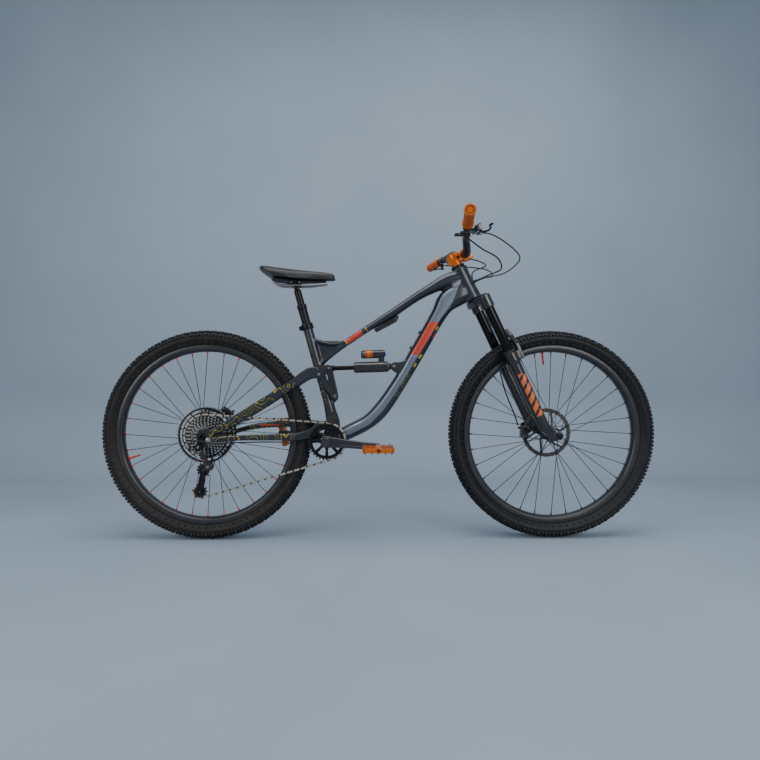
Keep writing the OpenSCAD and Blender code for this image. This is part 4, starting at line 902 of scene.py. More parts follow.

# %% [markdown]
# ## Wheels: rims and tyres
# A tyre is turned as one casing, then the tread knobs are added: one pitch of the tread is made, with
# centre, transition and shoulder knobs, and repeated round the wheel. The knobs are
# tapered blocks of ten faces each, because there are hundreds.

# %% Rims and tyres
rim_profile = [(-8, 294), (-13, 297.5), (-17, 301.5), (-17.9, 304), (-18, 316), (-17.5, 317), (-15.3, 317),
               (-15, 316.4), (-15, 311), (-10, 311), (-6, 307), (6, 307), (10, 311), (15, 311), (15, 316.4),
               (15.3, 317), (17.5, 317), (18, 316), (17.9, 304), (17, 301.5), (13, 297.5), (8, 294)]


def casing_profile(width, grow=0.0):
    middle, outer = 342.5, 22.0
    arc = [math.radians(-128 + 256 * i / 28) for i in range(29)]
    outside = [((width / 2 - 1.0 + grow) * math.sin(a), middle + (outer + grow) * math.cos(a)) for a in arc]
    inside = [((width / 2 - 3.5) * math.sin(a), middle + (outer - 2.5) * math.cos(a)) for a in reversed(arc)]
    return [(-14.8, 311), (-14.8, 317.6)] + outside + [(14.8, 317.6), (14.8, 311), (12, 311), (12.4, 320)] \
        + inside + [(-12.4, 320), (-12, 311)]


def knob(b, angle, y, lean_out, long, wide, high, root=344.5, skew=0.0):
    """A tapered tread block at an angle round the wheel, leaning outwards on the shoulder."""
    rise = Vector((math.cos(lean_out), math.sin(lean_out), 0))
    side = Vector((-math.sin(lean_out), math.cos(lean_out), 0))
    fore = Vector((0, 0, 1))
    base = Vector((root, y, 0))
    rings = []
    for up, shrink in ((0, 1.12), (high * 0.8, 1.0), (high, 0.86)):
        rings.append([Matrix.Rotation(-angle, 3, "Y") @ (base + rise * up + side * (s * wide / 2 * shrink)
                      + fore * (f * long / 2 * shrink + skew * s)) for f,
                      s in ((-1, -1), (1, -1), (1, 1), (-1, 1))])
    b.skin(rings)


def tyre(name, centre, width, body, node_name, rubber, knob_rubber, pitches):
    casing = Blank().turn(casing_profile(width), centre, sides=144, loop=True)
    step = math.tau / pitches
    strip = Blank()
    half = width / 2
    for s in (-1, 1):
        knob(strip, 0, s * half * 0.19, s * 0.12, 9.5, 9.0, 7.6, 362.0, skew=s * 0.9)
        knob(strip, step / 2, s * half * 0.2, s * 0.16, 6.5, 8.0, 7.2, 362.0, skew=-s)
        knob(strip, step / 2, s * half * 0.52, s * 0.55, 8.0, 8.5, 6.8, 359.8, skew=s * 1.3)
        knob(strip, 0, s * half * 0.84, s * 0.95, 9.5, 9.5, 7.0, 352.4)
        knob(strip, step / 2, s * half * 0.88, s * 1.05, 6.5, 8.0, 6.4, 350.6)
    for s in (-1, 1):
        rings = []
        for along, r in ((0, 1.0), (0.6, 0.9)):
            rings.append([(323 + 3.5 + 3.5 * c * r, s * (half * 0.80 + along + 1.2), 3 * d * r)
                          for c, d in ((-1, -1), (1, -1), (1, 1), (-1, 1))])
        strip.skin(rings)
    tread = round_axle(name + "_pitch", strip.mesh("pitch", sharp=30), pitches, centre, knob_rubber)
    whole = joined(name, [with_finish(casing.mesh(name + "_casing"), rubber), tread])
    place(name, whole, None, body, node_name)


tread_rubber = make_finish("tread_rubber", (0.014, 0.014, 0.016), 0.7, grain=500, lift=0.0002, dust=0.12)
wall_rubber = make_finish("wall_rubber", (0.009, 0.009, 0.011), 0.52, grain=900, lift=0.0001, dust=0.05)
brown_wall = make_finish("brown_wall", (0.013, 0.0105, 0.0095), 0.52, grain=900, lift=0.0001, dust=0.08)
tyre("front_tyre_treaded", front_axle, 63, "front_wheel", "front_tyre", wall_rubber, tread_rubber, 84)
tyre("rear_tyre_treaded", rear_axle, 60, "rear_wheel", "rear_tyre", brown_wall, tread_rubber, 84)
for name, centre, body in (("front_rim", front_axle, "front_wheel"), ("rear_rim", rear_axle, "rear_wheel")):
    hoop = Blank().turn(rim_profile, centre, sides=160, loop=True)
    holes = Blank()
    for s in (-1, 1):
        holes.turn([(293.4, 0.1), (293.4, 3.2), (294.6, 3.4), (294.6, 0.1)], (0, s * 3, 0), (1, 0, 0), 12)
    eyelets = round_axle(name + "_eyelet", holes.mesh("eyelet"), 16, centre, dark_steel)
    place(name + "_hoop", joined(name, [with_finish(hoop.mesh(name), rim_finish), eyelets]), None, body, name)

# %% [markdown]
# ## Wheels: spokes, hubs and rotors
# Thirty-two steel spokes cross three times on their way to the rim, in groups of four: two leave
# each flange, one leading and one trailing. One group is made with its elbows, swaged middles and
# nipples, and repeated eight times round the axle.

# %% Spokes and hubs
spoke_black = make_finish("spoke_black", (0.02, 0.021, 0.024), 0.4, metal=0.5, grain=700, vary=0.25)


def spoke_group(near, far, flange_r, count=32):
    wires, nipples = Blank(), Blank()
    step = math.tau / count
    lace = 3 * math.tau / count * 2 - step / 2
    for i in range(4):
        a = step * i
        y = near if i % 2 == 0 else far
        sign = 1 if i < 2 else -1
        side = sign * 5.8
        turn = a + sign * lace
        hub_end = Vector((flange_r * math.cos(turn), y + side, flange_r * math.sin(turn)))
        rim_end = Vector((294 * math.cos(a), math.copysign(3, y), 294 * math.sin(a)))
        inward = (hub_end - rim_end).normalized()
        elbow = Vector((hub_end.x, y - sign * 3.5, hub_end.z))
        stop = rim_end + inward * 10
        span = (stop - hub_end).length
        along = (stop - hub_end).normalized()
        wires.tube([elbow, hub_end - Vector((0, side * 0.25, 0)), hub_end + along * 4, hub_end + along * 14,
                    hub_end + along * 22, stop - along * 20, stop - along * 14, stop],
                   [1.35, 1.35, 1.3, 1.25, 1.15, 1.15, 1.25, 1.25], 6, level=(0.3, 0.2, 1))
        nipples.turn([(0.5, 1.6), (1.0, 2.3), (8, 2.2), (9, 1.7), (13, 1.5), (13.4, 1.2)], rim_end, inward, 8)
    return wires, nipples


def spokes(name, centre, near, far, flange_r, body, node_name, nipple_finish, valve_at):
    wires, nipples = spoke_group(near, far, flange_r)
    steel = round_axle(name + "_four", wires.mesh("four_spokes"), 8, centre, spoke_black)
    tips = round_axle(name + "_nipples", nipples.mesh("four_nipples"), 8, centre, nipple_finish)
    valve = Blank()
    out = Vector((math.cos(valve_at), 0, math.sin(valve_at)))
    valve.turn([(249, 1.5), (251, 2.6), (257, 2.8), (258, 2.1), (259, 3.0), (272, 3.0), (273, 4.0),
                (279, 4.0),
                (280, 3.0), (288, 3.0), (288.5, 5.2), (292.8, 5.4), (293.6, 4.5)], centre, out, 16)
    place(name, joined(name, [steel, tips, with_finish(valve.mesh("valve"), red_anodised)]), None, body,
          node_name)


spokes("front_spokes_laced", front_axle, -31, 27, 20, "front_wheel", "front_spokes", black_anodised,
       math.radians(96))
spokes("rear_spokes_laced", rear_axle, -19, 36, 22, "rear_wheel", "rear_spokes", red_anodised,
       math.radians(197))


def hub(name, centre, near, far, flange_r, end, disc, bore, body, node_name):
    b = Blank()
    r = flange_r + 4
    outline = [(-end, bore), (-end, 9.2), (-end + 0.8, 10), (near - 6, 10), (near - 5.4, 12),
               (near - 4.4, 15.5),
               (near - 4, r - 1), (near - 3.2, r), (near + 3.2, r), (near + 4, r - 1), (near + 4.6, 18),
               (near + 9, 16.2), ((near + far) / 2, 15.2), (far - 9, 16.2), (far - 4.6, 18), (far - 4, r - 1),
               (far - 3.2, r), (far + 3.2, r), (far + 4, r - 1), (far + 4.4, 17), (disc + 5.4, 17),
               (disc + 6, 16), (disc + 6, 11), (disc + 6.4, 10), (end - 0.8, 10), (end, 9.2), (end, bore)]
    b.turn(outline, centre, sides=64, loop=True)
    shell = with_finish(b.mesh(name, sharp=28), gloss_black)
    groove = Blank().turn([(near + 11, 15.9), (near + 11.3, 16.5), (near + 12.7, 16.5),
                           (near + 13, 15.9)], centre,
                          sides=64, loop=True)
    place(name, joined(name, [shell, with_finish(groove.mesh("groove"), bare_steel)]), None, body, node_name)


hub("front_hub_turned", front_axle, -31, 27, 20, 55, 44.5, 7.6, "front_wheel", "front_hub")
hub("rear_hub_turned", rear_axle, -19, 36, 22, 72, 58.6, 6.1, "rear_wheel", "rear_hub")


# One sixth of a rotor: a wavy outer edge and a slanted arm. Its two rows of slot holes are not cut; black plugs
# stand in their place, a painted shade for the open holes
def rotor(name, centre, y, body, node_name):
    sixth = Blank()
    count = 48
    outer = [90 - 1.1 * (1 - math.cos(math.tau * 4 * i / count)) / 2 for i in range(count + 1)]
    inner = [74.2 + 1.6 * abs(math.sin(math.pi * 4 * i / count)) for i in range(count + 1)]
    start = -math.pi / 6
    rows = [[], [], [], []]
    for i in range(count + 1):
        a = start + math.pi / 3 * i / count
        for r, row in ((outer[i], 0), (inner[i], 1)):
            for t, shift in ((-0.95, 0), (0.95, 2)):
                rows[row + shift].append(Vector((r * math.cos(a), t, r * math.sin(a))))
    sixth.skin([[rows[0][i], rows[1][i], rows[3][i], rows[2][i]] for i in range(count + 1)], caps=False)
    arm = [(25.5, -11), (26.5, -4), (50, 9), (64, 20), (73.5, 26), (76, 19), (66, 12), (47, -1), (33, -10)]
    sixth.plate(arm, -0.95, 0.95)
    ring = Blank().turn([(-2.4, 17.1), (-2.4, 24.5), (-1.6, 26.4), (1.6, 26.4), (2.4, 24.5), (2.4, 17.1)],
                        (centre[0], y, centre[2]), sides=64, loop=True)
    # Black plugs where each slot would be: painted shade for the holes, which are not cut through the disc
    slot_shade_plugs = Blank()
    for k in range(6):
        a = -math.pi / 6 + math.pi / 3 * (k + 0.5) / 6
        for r, da in ((79.5, -0.03), (84.5, 0.035)):
            c = Vector((r * math.cos(a + da), 0, r * math.sin(a + da)))
            slot_shade_plugs.turn([(-1.06, 2.35), (-1.0, 2.5), (1.0, 2.5), (1.06, 2.35)], c, sides=12)
    middle = (centre[0], y, centre[2])
    disc = round_axle(name + "_sixth", sixth.mesh("sixth", sharp=25), 6, middle, dark_steel)
    painted_vent_shade = round_axle(name + "_vents", slot_shade_plugs.mesh("painted_vent_shade"), 6, middle, nylon_black)
    lock = Blank()
    for i in range(16):
        a = math.tau * i / 16
        lock.box((18.5, -1, -1.6), (23.5, 2.2, 1.6))
        lock.points[-8:] = [Matrix.Rotation(a, 3, "Y") @ p + Vector((centre[0], y + 2.2, centre[2]))
                            for p in lock.points[-8:]]
    place(name, joined(name, [disc, painted_vent_shade, with_finish(ring.mesh("carrier"), satin_black),
                              with_finish(lock.mesh("lock_ring"), cast_grey)]), None, body, node_name)


rotor("front_rotor_cut", front_axle, 44.5, "front_wheel", "front_rotor")
rotor("rear_rotor_cut", rear_axle, 58.6, "rear_wheel", "rear_rotor")
print("wheels made", sum(pieces_made.values()))

# %% [markdown]
# ## The fork
# The lowers are one magnesium casting, so legs, arch and dropouts are moulded together. They are
# drawn upright in the steering axis's own frame and then leaned back, as a fork is machined on its
# legs and not on the finished bicycle.

# %% Fork lowers, crown and stanchions
steer_frame = Matrix.Translation((steer_foot[0], 0, steer_foot[1])) @ Matrix.Rotation(-lean, 4, "Y")
leg_ahead, leg_y = 20, 68

lowers = Blank()
for s in (-1, 1):
    lowers.turn([(36, 17.0), (40, 19.0), (120, 19.4), (288, 20.4), (296, 21.6), (302, 22), (331.9, 22)],
                (leg_ahead, s * leg_y, 0), (0, 0, 1), 40)
    low, high = sorted((s * 55.3, s * 81.3))
    lowers.plate([(6, 60), (34, 60), (48, 24), (64, 8), (64, -8), (54, -14), (40, -12), (14, 16),
                  (4, 40)], low, high)
    low, high = sorted((s * 55.3, s * 82.3))
    lowers.turn([(low, 15), (high, 15)], (51, 0, 0), sides=32)
    lowers.box((30, min(s * 57, s * 79), 296), (60, max(s * 57, s * 79), 330))
lowers.box((-18, 55.7, 22), (6, 66, 68))
arch_outline = [(-78, 300), (-78, 352), (-62, 388), (-34, 410), (0, 414), (34, 410), (62, 388),
                (78, 352), (78, 300),
                (62, 298), (58, 346), (44, 376), (28, 388), (0, 392), (-28, 388), (-44, 376),
                (-58, 346), (-62, 298)]
lowers.skin([[(x, y, z) for y, z in arch_outline] for x in (47, 60)])
leg_bores = Blank()
for s in (-1, 1):
    leg_bores.turn([(46, 17.56), (345, 17.56)], (leg_ahead, s * leg_y, 0), (0, 0, 1), 48)
leg_bores.turn([(-100, 7.5), (100, 7.5)], (51, 0, 0), sides=32)
casting = moulded(lowers.moved(steer_frame).mesh("lower_shells"), 2.0, 4, leg_bores.moved(steer_frame))


def banded(name, base, band_colour, low, high, pitch, filled, ahead_low, ahead_high, side=76.0):
    """A gloss finish with slanting blocks of colour up the outside of a fork leg."""
    finish = make_finish(name, base, 0.28, coat=0.5, grain=420)
    tree = finish.node_tree
    link = tree.links.new
    shader = tree.nodes["Principled BSDF"]
    under = shader.inputs["Base Color"].links[0].from_socket
    where = node(tree, "ShaderNodeTexCoord")

    def measure(direction, foot):
        dot = node(tree, "ShaderNodeVectorMath", operation="DOT_PRODUCT")
        dot.inputs[1].default_value = direction
        link(where.outputs["Object"], dot.inputs[0])
        less = node(tree, "ShaderNodeMath", operation="SUBTRACT")
        less.inputs[1].default_value = foot
        link(dot.outputs["Value"], less.inputs[0])
        return less.outputs[0]

    def step(value, limit, operation):
        made = node(tree, "ShaderNodeMath", operation=operation)
        made.inputs[1].default_value = limit
        link(value, made.inputs[0])
        return made.outputs[0]

    foot = Vector((steer_foot[0], 0, steer_foot[1])) * MM
    up = measure(tuple(steer_axis), steer_axis.dot(foot))
    ahead = measure(tuple(steer_ahead), steer_ahead.dot(foot))
    slant = node(tree, "ShaderNodeMath", operation="MULTIPLY_ADD")
    slant.inputs[1].default_value = -0.9
    link(ahead, slant.inputs[0])
    link(up, slant.inputs[2])
    share = node(tree, "ShaderNodeMath", operation="FRACT")
    link(step(slant.outputs[0], 1 / (pitch * MM), "MULTIPLY"), share.inputs[0])
    wide = node(tree, "ShaderNodeMath", operation="ABSOLUTE")
    apart = node(tree, "ShaderNodeSeparateXYZ")
    link(where.outputs["Object"], apart.inputs[0])
    link(apart.outputs["Y"], wide.inputs[0])
    masks = [step(share.outputs[0], filled, "LESS_THAN"), step(up, low * MM, "GREATER_THAN"),
             step(up, high * MM, "LESS_THAN"), step(ahead, ahead_low * MM, "GREATER_THAN"),
             step(ahead, ahead_high * MM, "LESS_THAN"), step(wide.outputs[0], side * MM, "GREATER_THAN")]
    mask = masks[0]
    for one in masks[1:]:
        both_masks = node(tree, "ShaderNodeMath", operation="MULTIPLY")
        link(mask, both_masks.inputs[0])
        link(one, both_masks.inputs[1])
        mask = both_masks.outputs[0]
    mix = node(tree, "ShaderNodeMix", data_type="RGBA")
    mix.inputs[7].default_value = (*band_colour, 1)
    link(mask, mix.inputs[0])
    link(under, mix.inputs[6])
    link(mix.outputs[2], shader.inputs["Base Color"])
    return finish


leg_finish = banded("leg_finish", (0.012, 0.012, 0.014), (0.72, 0.13, 0.015), 92, 252, 33, 0.62, 8, 33)
wipers = Blank()
for s in (-1, 1):
    wipers.turn([(332.1, 17.56), (332.1, 21.2), (333, 21.6), (337, 21.6), (338, 20.6), (340, 20.2),
                 (340, 17.56)],
                (leg_ahead, s * leg_y, 0), (0, 0, 1), 48, loop=True)
place("fork_casting", joined("fork_casting", [
    with_finish(casting, leg_finish),
    with_finish(wipers.moved(steer_frame).mesh("wipers"), nylon_black)]), None, "lowers", "fork_lowers")

crown = Blank()
crown.skin([[(x, y, z) for x, y in [(-26, -18), (-26, 18), (-14, 52), (2, 72), (26, 82), (27, 40), (27, -40),
                                    (26, -82), (2, -72), (-14, -52)]] for z in (529, 550)])
for s in (-1, 1):
    crown.turn([(505, 21.8), (507, 22.5), (549, 22.5), (551, 21.6)], (leg_ahead, s * leg_y, 0), (0, 0, 1), 48)
crown.turn([(529, 30), (553, 28)], (0, 0, 0), (0, 0, 1), 48)
steerer = Blank().turn([(552, 11), (552, 19.9), (570, 19.9), (630, 14.25), (729, 14.25), (729, 11)],
                       (0, 0, 0),
                       (0, 0, 1), 48, loop=True)
crown_bores = Blank().turn([(520, 11), (740, 11)], (0, 0, 0), (0, 0, 1), 32)
for s in (-1, 1):
    crown_bores.turn([(500, 17.5), (555, 17.5)], (leg_ahead, s * leg_y, 0), (0, 0, 1), 48)
place("fork_crown_forged", joined("fork_crown_forged", [
    with_finish(moulded(crown.moved(steer_frame).mesh("crown_shells"), 1.7, 4,
                        crown_bores.moved(steer_frame)),
                gloss_black),
    with_finish(steerer.moved(steer_frame).mesh("steerer"), cast_grey)]), None, "steering", "fork_crown")

legs, caps, dials = Blank(), Blank(), Blank()
for s in (-1, 1):
    at = (leg_ahead, s * leg_y, 0)
    legs.turn([(202, 15), (202, 17.2), (202.6, 17.48), (550.5, 17.48), (551, 17.0), (551, 15)], at,
              (0, 0, 1), 56, loop=True)
    caps.turn([(551.1, 0), (551.1, 15.4), (551.8, 16), (553.4, 16), (554, 15.4), (554, 0)], at, (0, 0, 1), 40)
    grip_ring = [(554.1, 11.0)]
    for i in range(24):
        a = math.tau * i / 24
        r = 11 if i % 2 else 10.2
        grip_ring.append((r * math.cos(a), r * math.sin(a)))
    dials.skin([[Vector((leg_ahead + x * f, s * leg_y + y * f, t)) for x, y in grip_ring[1:]]
                for t, f in ((554.05, 0.95), (554.6, 1.0), (556.6, 1.0), (557, 0.93))])
place("stanchions", joined("stanchions", [
    with_finish(legs.moved(steer_frame).mesh("legs"), stanchion_black),
    with_finish(caps.moved(steer_frame).mesh("caps"), black_anodised),
    with_finish(dials.moved(steer_frame).mesh("dials"), cast_grey)]), None, "steering", "fork_uppers")

axle = Blank()
axle.turn([(-80, 0), (-80, 7.0), (-79.5, 7.45), (79.5, 7.45), (80, 7.0), (80, 0)], front_axle, sides=40)
for s in (-1, 1):
    axle.turn([(s * t, r) for t, r in [(79, 7.4), (83, 7.4), (83.2, 9.4), (83.8, 10), (85.6, 10),
                                       (86, 9.4), (86, 4),
                                       (84, 3.6), (84, 0)]], front_axle, sides=40)
place("front_axle_turned", axle.mesh("front_axle"), black_anodised, "lowers", "front_axle")


def caliper_details(turn, y, inner, outer):
    """Two bolts, a hose joint and a pad pin for one brake caliper."""
    marks = [(turn @ Vector((sx * 17, y - inner, 6)), turn.to_3x3() @ Vector((0, -1, 0))) for sx in (-1, 1)]
    marks += [(turn @ Vector((sx * 17, y + outer, 6)), turn.to_3x3() @ Vector((0, 1, 0))) for sx in (-1, 1)]
    banjo = Blank()
    banjo.turn([(0, 4.4), (0.6, 5), (5, 5), (5.4, 4.4)], (12, y + outer - 4, 13.5), (0, 0, 1), 24)
    banjo.turn([(5.4, 3.4), (8.4, 3.2), (8.8, 2.6)], (12, y + outer - 4, 13.5), (0, 0, 1), 6)
    banjo.box((-13, y - 6, 13.6), (4, y + 6, 14.6))
    return marks, banjo.moved(turn).mesh("banjo", bevel=0.3)


front_turn = steer_frame @ Matrix.Translation((51 - 82 * math.sin(math.radians(62)), 0,
                                               82 * math.cos(math.radians(62)))) \
    @ Matrix.Rotation(math.radians(-62), 4, "Y")
for name, turn, y, inner, outer, body in (("front_caliper", front_turn, 44.5, 13, 11, "lowers"),
                                          ("rear_caliper", caliper_turn, 58.6, 13, 10, "seatstays")):
    eased(name, gloss_black, 1.6)
    marks, banjo = caliper_details(turn, y, inner, outer)
    place(name + "_fittings", joined(name + "_fittings", [at_marks("screws", screw, marks, bare_steel, 1.0),
                                                          with_finish(banjo, cast_grey)]), None, body)
print("fork made")

# %% [markdown]
# ## The cockpit
# The bar is one tube that thins out from the stem clamp to the grips, swept along a smooth path.
# The grips are moulded rubber with a cut diamond pattern, so their rings swell and sink as they are
# swept. The stem, levers and clamps are machined, so their edges are eased and their screws are
# separate.

# %% Bar, grips, stem and levers
stem_centre = 714
clamp_at = steering(39.5, 0, stem_centre)
bar_end = clamp_at + Vector((-65, 390, 38))
bar_bend = clamp_at + Vector((-20, 118, 31))
bar_dir = (bar_end - bar_bend).normalized()


def on_bar(from_end, side=1):
    p = bar_end - bar_dir * from_end
    return Vector((p.x, side * p.y, p.z))


half_bar = [(clamp_at + Vector((0, 0, 0)), 15.86), (clamp_at + Vector((0, 32, 0)), 15.86),
            (clamp_at + Vector((-2, 47, 2.5)), 15.0), (clamp_at + Vector((-6, 68, 9)), 13.6),
            (clamp_at + Vector((-12, 90, 19)), 12.9), (clamp_at + Vector((-17, 106, 27)), 12.5),
            (on_bar(262), 12.0), (on_bar(250), 11.3), (on_bar(240), 11.1), (on_bar(120), 11.1),
            (on_bar(0), 11.1)]
stations = [(*Vector((p.x, -p.y, p.z)), r) for p, r in reversed(half_bar[1:])] + [(*p, r) for p, r in half_bar]
smooth_bar = curve_through(stations, 5)
bar = Blank().tube(smooth_bar, [min(s[3], 15.86) for s in smooth_bar], 36, level=(0, 0, 1))
place("handlebar_swept", bar.mesh("handlebar", sharp=50), carbon_black, "steering", "handlebar")

grip_l, rubber_sides = 128, 36
rubber, collars, plugs = Blank(), Blank(), Blank()
for s in (-1, 1):
    path, rows = [], 76
    axis = Vector((bar_dir.x, s * bar_dir.y, bar_dir.z))
    u = axis.orthogonal().normalized()
    v = axis.cross(u)
    rings = []
    for k in range(rows + 1):
        along = grip_l - 9.5 - (grip_l - 19.5) * k / rows
        centre = on_bar(along, s)
        ring = []
        for i in range(rubber_sides):
            a = math.tau * i / rubber_sides
            cut = (k % 4 < 2) ^ (i % 4 < 2)
            r = 16.5 - (0.9 if cut and 3 < k < rows - 3 else 0.0)
            ring.append(centre + (u * math.cos(a) + v * math.sin(a)) * r)
        rings.append(ring)
    inner = [[on_bar(grip_l - 9.5 - (grip_l - 19.5) * k, s) + (u * math.cos(math.tau * i / rubber_sides)
             + v * math.sin(math.tau * i / rubber_sides)) * 11.16 for i in range(rubber_sides)] for k in (1, 0)]
    rubber.skin(rings + inner, loop=True)
    for start, end, r in ((grip_l, grip_l - 9, 18.3), (9.5, -2.6, 17.6)):
        steps_in = [(0, 11.16), (0, r - 0.7), (0.7, r), (start - end - 0.7, r), (start - end, r - 0.7)]
        collars.turn(steps_in + [(start - end, 11.16 if end > 0 else 12)], on_bar(start, s), axis, 40,
                     loop=True)
    plugs.turn([(0, 0), (0, 11.0), (0.4, 12.1), (1.4, 13.6), (2.0, 13.2), (2.2, 8.5), (1.8, 8.2), (1.8, 0)],
               on_bar(0.4, s), axis, 40)
end_rings = Blank()
for s in (-1, 1):
    axis = Vector((bar_dir.x, s * bar_dir.y, bar_dir.z))
    end_rings.turn([(2.1, 9.4), (2.1, 11.4), (2.5, 11.2), (2.5, 9.6)], on_bar(0.4, s), axis, 40, loop=True)
grips = joined("grips", [with_finish(end_rings.mesh("end_rings"), black_anodised),
                         with_finish(rubber.mesh("grip_rubber", sharp=50), orange_rubber),
                         with_finish(collars.mesh("collars"), orange_anodised),
                         with_finish(plugs.mesh("plugs"), orange_anodised)])
place("grips_moulded", grips, None, "steering", "grips")

eased("stem", orange_anodised, 1.6)
# The stem's two round holes are not cut: a black disc on each side is painted shade for each hole, set in a raised
# orange rim
hole_shade_discs, rims_cut = Blank(), Blank()
for ahead in (9, 27):
    for s in (-1, 1):
        at_hole = steering(ahead, 0, stem_centre)
        hole_shade_discs.turn([(22.6, 0), (22.6, 5.6), (23.1, 5.8), (23.2, 0)], at_hole, (0, s, 0), 28)
        rims_cut.turn([(22.6, 5.8), (22.6, 7.6), (23.6, 7.0), (23.6, 6.1)], at_hole, (0, s, 0), 28, loop=True)
place("stem_windows", joined("stem_windows", [with_finish(hole_shade_discs.mesh("painted_hole_shade"), black_anodised),
                                              with_finish(rims_cut.mesh("window_rims"), orange_anodised)]),
      None, "steering")
eased("stem_faceplate", orange_anodised, 1.0)
spacer = Blank()
for low, high, r in ((690.05, 694.95, 17.5), (733, 737, 17)):
    spacer.turn([(low, 14.3), (low, r - 0.5), (low + 0.5, r), (high - 0.5, r), (high, r - 0.5), (high, 14.3)]
                if high < 700 else [(low, 0), (low, r), (high - 1.2, r), (high, r - 1.6), (high, 0)],
                (0, 0, 0), (0, 0, 1), 48, loop=high < 700)
spacer.turn([(721, 0), (721, 4), (734, 4), (734, 0)], (0, 0, 0), (0, 0, 1), 24)
spacers = spacer.moved(steer_frame).mesh("spacers")
place("headset_spacers_turned", spacers, orange_anodised, "steering", "headset_spacers")
eased("bearing_cups", black_anodised, 0.5)
marks = [(steering(56.5, y, stem_centre + z), steer_ahead) for y in (-17, 17) for z in (-18, 18)]
marks += [(steering(-18, s * 11, stem_centre + z), Vector((0, s, 0))) for s in (1,) for z in (-11, 11)]
marks += [(steering(0, 0, 737), steer_axis)]
place("stem_screws", at_marks("stem_screw", screw, marks, black_anodised, 1.15), None, "steering")

eased("brake_masters", gloss_black, 0.9)
eased("remote_clamps", nylon_black, 0.6)
eased("shifter_paddle", nylon_black, 0.9)
eased("dropper_paddle", black_anodised, 0.9)
brake_clamp, remote_clamp = on_bar(164), on_bar(145)
lever_pin = brake_clamp + Vector((42, 4, -13))
lever_path = curve_through([(0, 0, 0, 5.6), (8, 2, 0, 4.6), (17, 9, 0, 3.9), (21, 24, 0, 3.6),
                            (19.5, 44, 0, 3.6),
                            (13, 62, 0, 3.8), (11.5, 76, 0, 4.2), (13.5, 85, 0, 4.4), (13.6, 87, 0, 2.6)], 4)
for side, name in ((1, "brake_lever_left"), (-1, "brake_lever_right")):
    blade = Blank().tube([(x, y, 0) for x, y, _, _ in lever_path], [r for *_, r in lever_path], 14,
                         level=(0, 0, 1))
    blade.points = [Vector((p.x, p.y, p.z * 0.82 - 1.5)) for p in blade.points]
    blade.turn([(-5.9, 5.4), (-5.4, 6), (2.4, 6), (2.9, 5.4)], (0, 0, 0), (0, 0, 1), 28)
    bore = Blank().turn([(-12, 2.56), (12, 2.56)], (0, 0, 0), (0, 0, 1), 20)
    for b in (blade, bore):
        b.points = [Vector((p.x + lever_pin.x, side * (p.y + lever_pin.y),
                            p.z + lever_pin.z)) for p in b.points]
    made = moulded(blade.mesh("blade"), 0.9, 2, bore)
    place(name + "_blade", made, black_anodised, "brake_lever_l" if side > 0 else "brake_lever_r", name)
details, marks = Blank(), []
for s in (-1, 1):
    def at(p, side=s):
        return Vector((p[0], side * p[1], p[2]))
    top = at(brake_clamp + Vector((31, 6, 2)))
    details.box(top + Vector((-9, -16, -4)), top + Vector((8, 20, 1.4)))
    details.turn([(0, 5.5), (0.5, 6), (4, 6), (4.5, 5.5)], at(brake_clamp + Vector((26.2, -27.5, -7))),
                 (0, -s, 0), 6)
    details.turn([(4.5, 4), (11, 3.4), (12, 2.7)], at(brake_clamp + Vector((26.2, -27.5, -7))),
                 (0, -s, 0), 20)
    marks += [(top + Vector((dx, dy, 1.3)), (0, 0, 1)) for dx in (-6, 5.5) for dy in (-13, 17)]
    marks += [(at(brake_clamp + Vector((15, 0, z))), (1, 0, 0)) for z in (4, -14)]
    marks += [(at(lever_pin) + Vector((0, 0, 7.6)), (0, 0, 1))]
details_mesh = details.mesh("brake_details", bevel=0.7)
place("brake_details", joined("brake_details", [with_finish(details_mesh, cast_grey),
                                                at_marks("brake_screws", screw, marks, bare_steel, 0.8)]),
      None, "steering")
print("cockpit made")

# %% [markdown]
# ## Hoses and housings
# Each hose is held at both ends, so its whole length is known: it is swept along the same route the
# frame model gives it. Where a hose enters a part it gets a ferrule, which is what keeps a real one
# from pulling out.

# %% Hoses
near_remote = Vector((remote_clamp.x, -remote_clamp.y, remote_clamp.z))
ports = [steering(37.6, y, 612) for y in (-18, 18)]
front_route = [brake_clamp + Vector((26, -28, -7)), (356, 150, 1034), (408, 110, 1000), steering(62, 86, 650),
               steering(52, 88, 570), steering(50, 94, 500), steering(42, 98, 420), steering(16, 97, 320),
               steering(-10, 90, 200), steering(-20, 72, 110), steering(-28, 62, 66)]
cockpit_routes = [
    ([Vector((brake_clamp.x + 26, 28 - brake_clamp.y, brake_clamp.z - 7)), (372, -140, 1046),
      (470, -60, 1014),
      (494, -20, 988), (450, 10, 950), ports[1] + Vector((40, 2, 18)), ports[1] + Vector((0, 2.2, 0))], 2.3),
    ([near_remote + Vector((-6, 27.8, -22.5)), (330, -146, 1000), (400, -80, 985), (424, -42, 955),
      ports[0] + Vector((40, -3, 18)), ports[0]], 2.5),
    ([remote_clamp + Vector((2, -6.8, -19)), (330, 110, 994), (396, 54, 972), (412, 26, 944),
      ports[1] + Vector((34, -2.6, 14)), ports[1] + Vector((0, -2.6, 0))], 2.2)]
rear_routes = [
    ([(-330, -46, 346), (-410, -58, 348), (-500, -76, 348), (-570, -95, 346), (-606, -99, 354),
      (-636, -104, 357),
      (-652, -102, 340), (-648, -95, 322)], 2.2),
    ([(-330, 46, 419.2), (-400, 50, 423), (-460, 50, 422), (-508, 53, 415), (-541, 56, 429.2)], 2.2)]


def hose(route, r, level=(0.3, 0.5, 0.81)):
    path = curve_through([tuple(p) for p in route], 12)
    b = Blank().tube(path, r, 14, level=level)
    for end, nxt in ((0, 3), (-1, -4)):
        a, c = Vector(path[end]), Vector(path[nxt])
        b.turn([(0, r), (0.3, r + 0.7), (7, r + 0.7), (9, r + 0.1)], a, c - a, 16)
    return b


